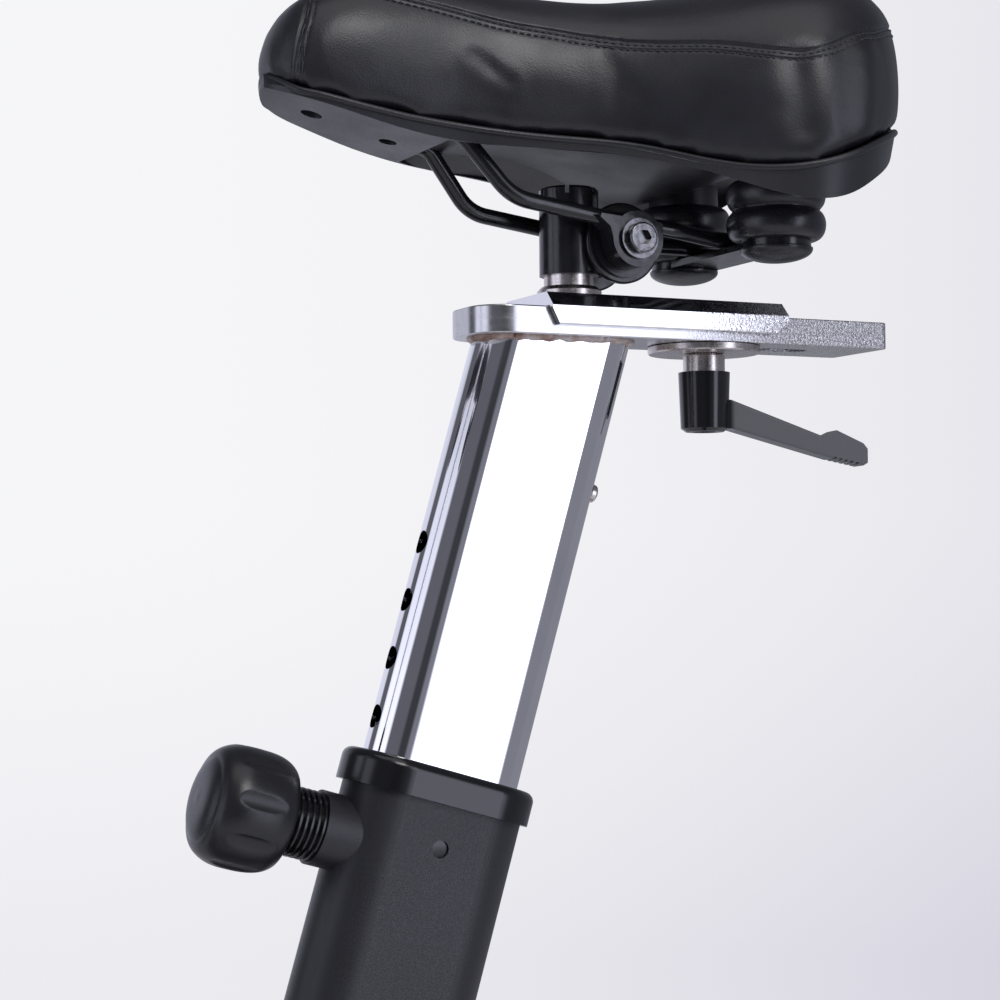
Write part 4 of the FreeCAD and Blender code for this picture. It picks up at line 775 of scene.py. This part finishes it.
def seam_lines(tree):
    """Each seam as (point, normal, direction to the panel above it), half a millimetre apart on the cover."""
    left = [at_seat(p) for p in PANEL_SEAM]
    right = [at_seat((x, -y, z)) for x, y, z in reversed(PANEL_SEAM[:-1])]
    nose = [at_seat(p) for p in NOSE_SEAM]
    nose += [at_seat((x, -y, z)) for x, y, z in reversed(NOSE_SEAM[:-1])]
    top = at_seat((20, 0, 150))
    front = at_seat((-200, 0, 120))
    return [seam_on(tree, left + right, top), seam_on(tree, nose, front)]


def seam_on(tree, points, towards):
    """One seam laid on the cover, with its side direction pointing towards a place."""
    line = [tree.find_nearest(p)[0] for p in smooth_line(points, 0.5 * MM)]
    made = []
    for i, here in enumerate(line):
        before, after = line[max(0, i - 6)], line[min(len(line) - 1, i + 6)]
        normal = tree.find_nearest(here)[1]
        side = normal.cross((after - before).normalized()).normalized()
        if side.dot(towards - here) < 0:
            side = -side
        made.append((here, normal, side))
    return made


def refined(obj, line, reach):
    """Splits the cover's faces finely near a seam."""
    near = tree_of([here for here, _, _ in line])
    for cut_reach in (reach, reach * 0.75):
        work = bmesh.new()
        work.from_mesh(obj.data)
        edges = [e for e in work.edges if all(near.find(v.co)[2] < cut_reach for v in e.verts)]
        bmesh.ops.subdivide_edges(work, edges=edges, cuts=1, use_grid_fill=True, smooth=0.0)
        work.to_mesh(obj.data)
        work.free()
    return near


def bell(value, width):
    """A smooth bump: 1 in the middle, and near 0 from two widths on."""
    return math.exp(-(value / width) ** 2)


def sewn(obj, line, near):
    """Presses a seam into the cover: a folded edge above it, and a dent along each row of stitches."""
    reach = 11 * MM

    def height(place):
        _, index, distance = near.find(place)
        if distance > reach:
            return 0.0
        here, _, side = line[index]
        off = (place - here).dot(side)
        fade = 1 - (distance / reach) ** 2
        fold = 0.40 * MM * min(1.0, max(0.0, off / (0.9 * MM)))
        groove = -0.55 * MM * bell(off, 0.6 * MM)
        rows = sum(-0.22 * MM * bell(off + row, 0.7 * MM) for row in STITCH_ROWS)
        puff = 0.22 * MM * bell(off + sum(STITCH_ROWS) / 2, 0.8 * MM)
        return (fold + groove + rows + puff) * fade

    displaced(obj, height)


def stitches(name, line):
    """Two rows of raised thread beside a seam."""
    pitch = STITCH_LENGTH + STITCH_GAP
    step = (line[-1][0] - line[-2][0]).length or 0.5 * MM
    stride = max(2, round(pitch / step))
    span = max(1, round(STITCH_LENGTH / step))
    rings, sides, meshes = 7, 8, []
    arch, sunk = 0.45 * MM, 0.30 * MM
    for row in STITCH_ROWS:
        for start in range(3, len(line) - span - 3, stride):
            loops = []
            for k in range(rings):
                t = k / (rings - 1)
                here, normal, side = line[start + round(t * span)]
                rise = math.sin(math.pi * t)
                centre = here - side * row + normal * (arch * rise - sunk)
                radius = THREAD_R * (0.55 + 0.45 * rise)
                loops.append([centre + (side * math.cos(a) + normal * math.sin(a)) * radius
                              for a in (2 * math.pi * j / sides for j in range(sides))])
            points, faces = tube(loops, False)
            meshes.append(mesh_of("stitch", points, faces))
    obj = joined(name, meshes)
    for mesh in meshes:
        bpy.data.meshes.remove(mesh)
    return obj


def creased(obj):
    """Soft folds in the cover's side, and a slow unevenness of the foam under it."""
    strokes = []
    for start, end, depth, width in CREASES:
        for mirror in (1, -1):
            a, b = (at_seat((p[0], p[1] * mirror, p[2])) for p in (start, end))
            strokes.append((a, b, depth * MM, width * MM))

    def height(place):
        push = 0.35 * MM * noise.noise(place * 28)
        for a, b, depth, width in strokes:
            run = b - a
            t = min(1.0, max(0.0, (place - a).dot(run) / run.length_squared))
            away = (place - a - run * t).length
            if away < 3 * width:
                push -= depth * bell(away, width * 0.6)
                push += 0.5 * depth * bell(away - width * 1.3, width * 0.7)
        return push

    displaced(obj, height)


def recast(node, body, slot, voxel, passes):
    """A moulded part of the CAD model again, on a fine and even mesh that keeps its highlights smooth."""
    piece = add(f"{node}_moulding", NODES[node].data.copy())
    modified(piece, "REMESH", mode="VOXEL", voxel_size=voxel)
    modified(piece, "SMOOTH", factor=0.5, iterations=passes)
    smoothed(piece.data)
    return finished(piece, body, MATERIALS[slot], node, slot=slot)


def make_rings():
    """The rubber rings under the shell, recast on a mesh of their own; the real rings shorten as the saddle
    flexes.
    """
    rings = recast("elastomer_springs", "saddle_frame", "elastomer", 0.6 * MM, 3)
    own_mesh(rings)


def make_pin_spring():
    """The seat pin's spring, on a mesh of its own; the real spring is squeezed against its housing's cap as
    the pin is pulled.
    """
    spring = add("seat_pin_coil", NODES["seat_pin_spring"].data.copy())
    finished(spring, "frame", MATERIALS["nickel_steel"], "seat_pin_spring", slot="nickel_steel")
    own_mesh(spring)


def make_cover():
    """The swollen, creased and sewn cover, in place of the plain cushion, and its stitches."""
    cover = add("saddle_cover", NODES["saddle_cushion"].data.copy())
    modified(cover, "REMESH", mode="VOXEL", voxel_size=VOXEL)
    modified(cover, "SMOOTH", factor=0.5, iterations=3)
    swollen(cover)
    modified(cover, "SMOOTH", factor=0.5, iterations=2)
    modified(cover, "SUBSURF", levels=1)
    creased(cover)
    tucked(cover)
    lines = seam_lines(surface(cover.data))
    for line in lines:
        sewn(cover, line, refined(cover, line, 9 * MM))
    modified(cover, "SMOOTH", factor=0.3, iterations=1)
    smoothed(cover.data)
    finished(cover, "saddle", MATERIALS["saddle_cover"], "saddle_cushion", slot="saddle_cover")
    for name, line in zip(("panel_stitches", "nose_stitches"), lines):
        finished(stitches(name, line), "saddle", MATERIALS["thread"])


# ---- Welds -------------------------------------------------------------------------------------


def contact_loop(node, other, axis):
    """The outer line along which one node's end meets another, in order round its axis."""
    touch, fewest, sectors, inner = 0.6 * MM, 12, 120, 0.35
    tree = surface(NODES[other].data)
    touching = [v.co.copy() for v in NODES[node].data.vertices
                if 0 < tree.find_nearest(v.co)[3] < touch]  # not those exactly on it
    if len(touching) < fewest:
        return []
    middle = sum(touching, Vector()) / len(touching)
    across = axis.orthogonal().normalized()
    over = axis.cross(across).normalized()
    best = {}
    for point in touching:
        out = point - middle
        angle = math.atan2(out.dot(over), out.dot(across))
        sector = int((angle / (2 * math.pi) + 0.5) * sectors) % sectors
        far = math.hypot(out.dot(over), out.dot(across))
        if sector not in best or far > best[sector][0]:
            best[sector] = (far, point)
    widest = max(far for far, _ in best.values())
    return [best[sector][1] for sector in sorted(best) if best[sector][0] > inner * widest]


def weld_bead(name, loop, radius, seed):
    """A ripple of overlapping weld pools along a closed line."""
    step, pool, sides = 0.6 * MM, 1.9 * MM, 10
    line = smooth_line([*loop, loop[0]], step)[:-1]
    middle = sum(line, Vector()) / len(line)
    rings = []
    for i, here in enumerate(line):
        run = (line[(i + 2) % len(line)] - line[i - 2]).normalized()
        out = here - middle
        out = (out - run * out.dot(run)).normalized()
        over = run.cross(out)
        ripple = 0.08 * abs(math.sin(math.pi * i * step / pool))
        lump = 0.55 * noise.noise(here * 190 + Vector((seed, 0, 0)))
        size = radius * (0.92 + ripple + lump)
        rings.append([here + (out * math.cos(a) + over * math.sin(a)) * size
                      for a in (2 * math.pi * j / sides for j in range(sides))])
    points, faces = tube(rings, True)
    return add(name, mesh_of(name, points, faces))


def tube_axis(node):
    """The long direction of a leaning tube: its box's diagonal, towards the side that its top is on."""
    low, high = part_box(node)
    span = high - low
    top_band = 20 * MM
    top = [v.co for v in NODES[node].data.vertices if v.co.z > high.z - top_band]
    top_middle = sum(top, Vector()) / len(top)
    sign = 1 if top_middle.x > (low.x + high.x) / 2 else -1
    return Vector((sign * span.x, 0, span.z)).normalized()


def make_welds():
    """The bright bead under the slide plate, and the painted beads of the frame."""
    post_axis = tube_axis("seat_post")
    loop = contact_loop("seat_post", "slide_plate", post_axis)
    bead = weld_bead("seat_post_bead", loop, 2.1 * MM, 3)
    finished(bead, "seat_post", MATERIALS["weld_metal"], "seat_post_weld", slot="weld_metal")
    joints = [("main_beam", "head_tube"), ("main_beam", "bottom_bracket_shell"), ("rear_beam", "seat_tube"),
              ("rear_beam", "rear_stabilizer"), ("seat_tube", "bottom_bracket_shell")]
    for seed, (node, other) in enumerate(joints):
        loop = contact_loop(node, other, tube_axis(node))
        if loop:
            bead = weld_bead(f"bead_{node}_{other}", loop, 2.4 * MM, seed)
            finished(bead, "frame", MATERIALS["frame_black"], slot="frame_black")


# ---- Grips, toe straps and screws --------------------------------------------------------------


def make_grips():
    """Foam sleeves, softened from their CAD solids."""
    foam = add("grip_foam_sleeves", NODES["handlebar_grips"].data.copy())
    modified(foam, "REMESH", mode="VOXEL", voxel_size=1.8 * MM)
    modified(foam, "SMOOTH", factor=0.5, iterations=4)
    displaced(foam, lambda place: 0.25 * MM + 0.3 * MM * noise.noise(place * 45))
    smoothed(foam.data)
    finished(foam, "handlebar", MATERIALS["grip_foam"], "handlebar_grips", slot="grip_foam")


def make_toe_cages():
    """A moulded cage and a webbing strap on each pedal, with the strap's buckle."""
    for word in ("left", "right"):
        node = f"toe_cage_{word}"
        parts = islands(node)
        strap, cage = sorted(parts, key=lambda mesh: max(v.co.z for v in mesh.vertices), reverse=True)[:2]
        cage_piece = add(f"toe_cage_{word}_ribbon", cage)
        modified(cage_piece, "BEVEL", width=0.5 * MM, segments=2, limit_method="ANGLE")
        finished(cage_piece, f"pedal_{word}", MATERIALS["pedal_plastic"], node, slot="pedal_plastic")
        strap_piece = add(f"toe_strap_{word}", strap)
        modified(strap_piece, "BEVEL", width=0.4 * MM, segments=2, limit_method="ANGLE")
        finished(strap_piece, f"pedal_{word}", MATERIALS["strap_web"], node, slot="strap_web")
        make_buckle(word, strap_piece)


def make_buckle(word, strap):
    """A sprung steel buckle on the strap's outer side."""
    points = [v.co for v in strap.data.vertices]
    sign = -1 if word == "left" else 1
    outer = max(p.y * sign for p in points) * sign
    reach, height, proud = 3 * MM, 52 * MM, 1.2 * MM
    side = [p for p in points if abs(p.y - outer) < reach]
    x = sum(p.x for p in side) / len(side)
    z = min(p.z for p in points) + height
    half_x, half_z, wire = 11 * MM, 9 * MM, 1.5 * MM
    blunt = wire * 0.6
    y = outer + sign * proud
    corners = [Vector((x + half_x, y, z - half_z)), Vector((x + half_x, y, z + half_z)),
               Vector((x - half_x, y, z + half_z)), Vector((x - half_x, y, z - half_z))]
    rods = [(corners[i], corners[(i + 1) % 4]) for i in range(4)]
    rods.append((Vector((x + half_x, y, z)), Vector((x - half_x, y, z))))
    meshes = []
    for a, b in rods:
        run = (b - a).length
        profile = [(blunt, -blunt), (wire, 0), (wire, run), (blunt, run + blunt)]
        meshes.append(lathe("rod", profile, a, b - a, 12))
    buckle = joined(f"strap_buckle_{word}", meshes)
    finished(buckle, f"pedal_{word}", MATERIALS["nickel_steel"], slot="nickel_steel")


def make_guard_screws():
    """Pan-head screws round the belt guard's face."""
    low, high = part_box("belt_guard_outer")
    tree = surface(NODES["belt_guard_outer"].data)
    rear_r = (high.z - low.z) / 2
    rim_inset, hub_inset, start_off = 17 * MM, 30 * MM, 50 * MM
    rear = Vector((high.x - rear_r, 0, high.z - rear_r))
    disc_low, disc_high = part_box("flywheel_disc")
    front = Vector(((disc_low.x + disc_high.x) / 2, 0, (disc_low.z + disc_high.z) / 2))
    places = [rear + Vector((math.cos(a), 0, math.sin(a))) * (rear_r - rim_inset)
              for a in (math.radians(d) for d in (0, 75, -75))]
    places.append(front - Vector((hub_inset, 0, 0)))
    profile = [(4.2, 0), (4.2, 0.7), (3.6, 1.7), (2.4, 2.2), (1.9, 2.25), (1.7, 1.1), (0.01, 0.9)]
    profile = [(r * MM, z * MM) for r, z in profile]
    meshes = []
    for place in places:
        hit = tree.ray_cast(Vector((place.x, high.y + start_off, place.z)), -ACROSS)[0]
        if hit:
            meshes.append(lathe("screw", profile, hit, ACROSS, 24))
    finished(joined("guard_screws", meshes), "frame", MATERIALS["nickel_steel"], slot="nickel_steel")


# ---- Studio ------------------------------------------------------------------------------------


def make_camera():
    """A long lens at the height of the seat post, looking slightly up."""
    data = bpy.data.cameras.new("camera")
    data.lens = CAMERA_LENS
    data.clip_start, data.clip_end = 0.01, 50.0
    obj = add("camera", data)
    turn = Matrix.Rotation(-math.radians(CAMERA_HEADING), 4, "Z")
    lift = Matrix.Rotation(math.radians(90 + CAMERA_PITCH), 4, "X")
    roll = Matrix.Rotation(math.radians(CAMERA_ROLL), 4, "Z")
    obj.matrix_world = Matrix.Translation(CAMERA_PLACE) @ turn @ lift @ roll
    bpy.context.scene.camera = obj


def make_floor():
    """A pale floor that fades out into the backdrop."""
    work = bmesh.new()
    bmesh.ops.create_circle(work, cap_ends=True, radius=FLOOR_RADIUS, segments=128)
    mesh = bpy.data.meshes.new("floor")
    work.to_mesh(mesh)
    work.free()
    g = Graph("floor", roughness=0.6, emission_strength=FLOOR_GLOW)
    g.give("Emission Color", (0.90, 0.90, 0.94))
    g.give("Base Color", g.ramp(g.noise(0.4), (0.3, (0.78, 0.78, 0.80)), (0.7, (0.82, 0.82, 0.83))))
    clear = g.nodes.new("ShaderNodeBsdfTransparent")
    mix = g.nodes.new("ShaderNodeMixShader")
    g.give(0, g.between(g.reach((0, 0, 0), UP), FLOOR_FADE_START, FLOOR_FADE_END), mix)
    g.links.new(g.shader.outputs[0], mix.inputs[1])
    g.links.new(clear.outputs[0], mix.inputs[2])
    g.links.new(mix.outputs[0], g.nodes["Material Output"].inputs["Surface"])
    mesh.materials.append(g.material)
    add("floor", mesh)


def studio_light(g, heading, height):
    """The surroundings that the bike reflects: bands by heading, which fade out under a dim ceiling."""
    stops = [(0.0, (STUDIO[0][1],) * 3)]
    soft = STUDIO_SOFT / 360
    for (start, level), (_, last) in zip(STUDIO[1:], STUDIO):
        place = (start + 180) / 360
        stops += [(place - soft, (last,) * 3), (place + soft, (level,) * 3)]
    walls = g.ramp(g.math("ADD", g.math("DIVIDE", heading, 2 * math.pi), 0.5), *stops)
    roof = g.between(g.math("ABSOLUTE", height), WALL_TOP, CEILING_START)
    room = g.mixed(roof, walls, (CEILING,) * 3)
    return g.mixed(1.0, room, STUDIO_TINT, "MULTIPLY")


class WorldGraph(Graph):
    """A world's node tree: its place is a direction."""

    def __init__(self):
        world = bpy.data.worlds.new("studio")
        bpy.context.scene.world = world
        world.use_nodes = True
        self.nodes = world.node_tree.nodes
        self.links = world.node_tree.links
        self.shader = self.nodes["Background"]
        self.place = self.nodes.new("ShaderNodeTexCoord").outputs["Generated"]


def make_world():
    """A studio to light and reflect in the bike, behind a pale backdrop."""
    g = WorldGraph()
    x, y, z = (g.along(i) for i in range(3))
    heading = g.math("ARCTAN2", g.math("MULTIPLY", x, -1.0), g.math("MULTIPLY", y, -1.0))
    g.give("Color", studio_light(g, heading, z))
    a = math.radians(CAMERA_HEADING)
    right = g.math("ADD", g.math("MULTIPLY", x, math.cos(a)), g.math("MULTIPLY", y, -math.sin(a)))
    across = g.between(right, -BACKDROP_SIDE, BACKDROP_SIDE)
    across = g.math("MULTIPLY", across, across)
    down = g.math("POWER", g.between(z, BACKDROP_TOP, BACKDROP_FOOT), BACKDROP_FALL)
    shade = g.math("ADD", g.math("MULTIPLY", across, SHADE_ACROSS), g.math("MULTIPLY", down, SHADE_DOWN))
    shade = g.math("ADD", shade, g.math("MULTIPLY", g.math("MULTIPLY", across, down), SHADE_CORNER))
    backdrop = g.nodes.new("ShaderNodeBackground")
    g.give("Color", g.ramp(shade, (0.0, BACKDROP_LIGHT), (1.0, BACKDROP_DARK)), backdrop)
    mix = g.nodes.new("ShaderNodeMixShader")
    g.give(0, g.nodes.new("ShaderNodeLightPath").outputs["Is Camera Ray"], mix)
    g.links.new(g.shader.outputs[0], mix.inputs[1])
    g.links.new(backdrop.outputs[0], mix.inputs[2])
    g.links.new(mix.outputs[0], g.nodes["World Output"].inputs["Surface"])


def softbox(name, place, target, size, power):
    """A large soft lamp, aimed at a point."""
    data = bpy.data.lights.new(name, "AREA")
    data.shape = "RECTANGLE"
    data.size, data.size_y = size
    data.energy = power
    obj = add(name, data)
    obj.location = place
    obj.rotation_mode = "QUATERNION"
    obj.rotation_quaternion = (Vector(target) - Vector(place)).to_track_quat("-Z", "Y")


def make_lights():
    """Two soft lamps, above and in front of the saddle."""
    seat = SEAT + Vector((0, 0, 0.1))
    softbox("lamp_over", (0.1, -0.6, 2.4), seat, size=(1.6, 1.2), power=6.0)
    softbox("lamp_front", (0.25, -2.0, 2.2), seat, size=(0.9, 0.9), power=19.0)


# ---- The scene ---------------------------------------------------------------------------------

bpy.context.scene.view_settings.view_transform = "Standard"
make_camera()
make_world()
make_lights()
make_floor()
finish_nodes()
make_cover()
make_hem()
recast("seat_pin_knob", "seat_pin", "knob_plastic", 0.55 * MM, 3)
make_rings()
make_pin_spring()
recast("elastomer_caps", "saddle_frame", "elastomer", 0.45 * MM, 2)
make_welds()
make_grips()
make_toe_cages()
make_guard_screws()
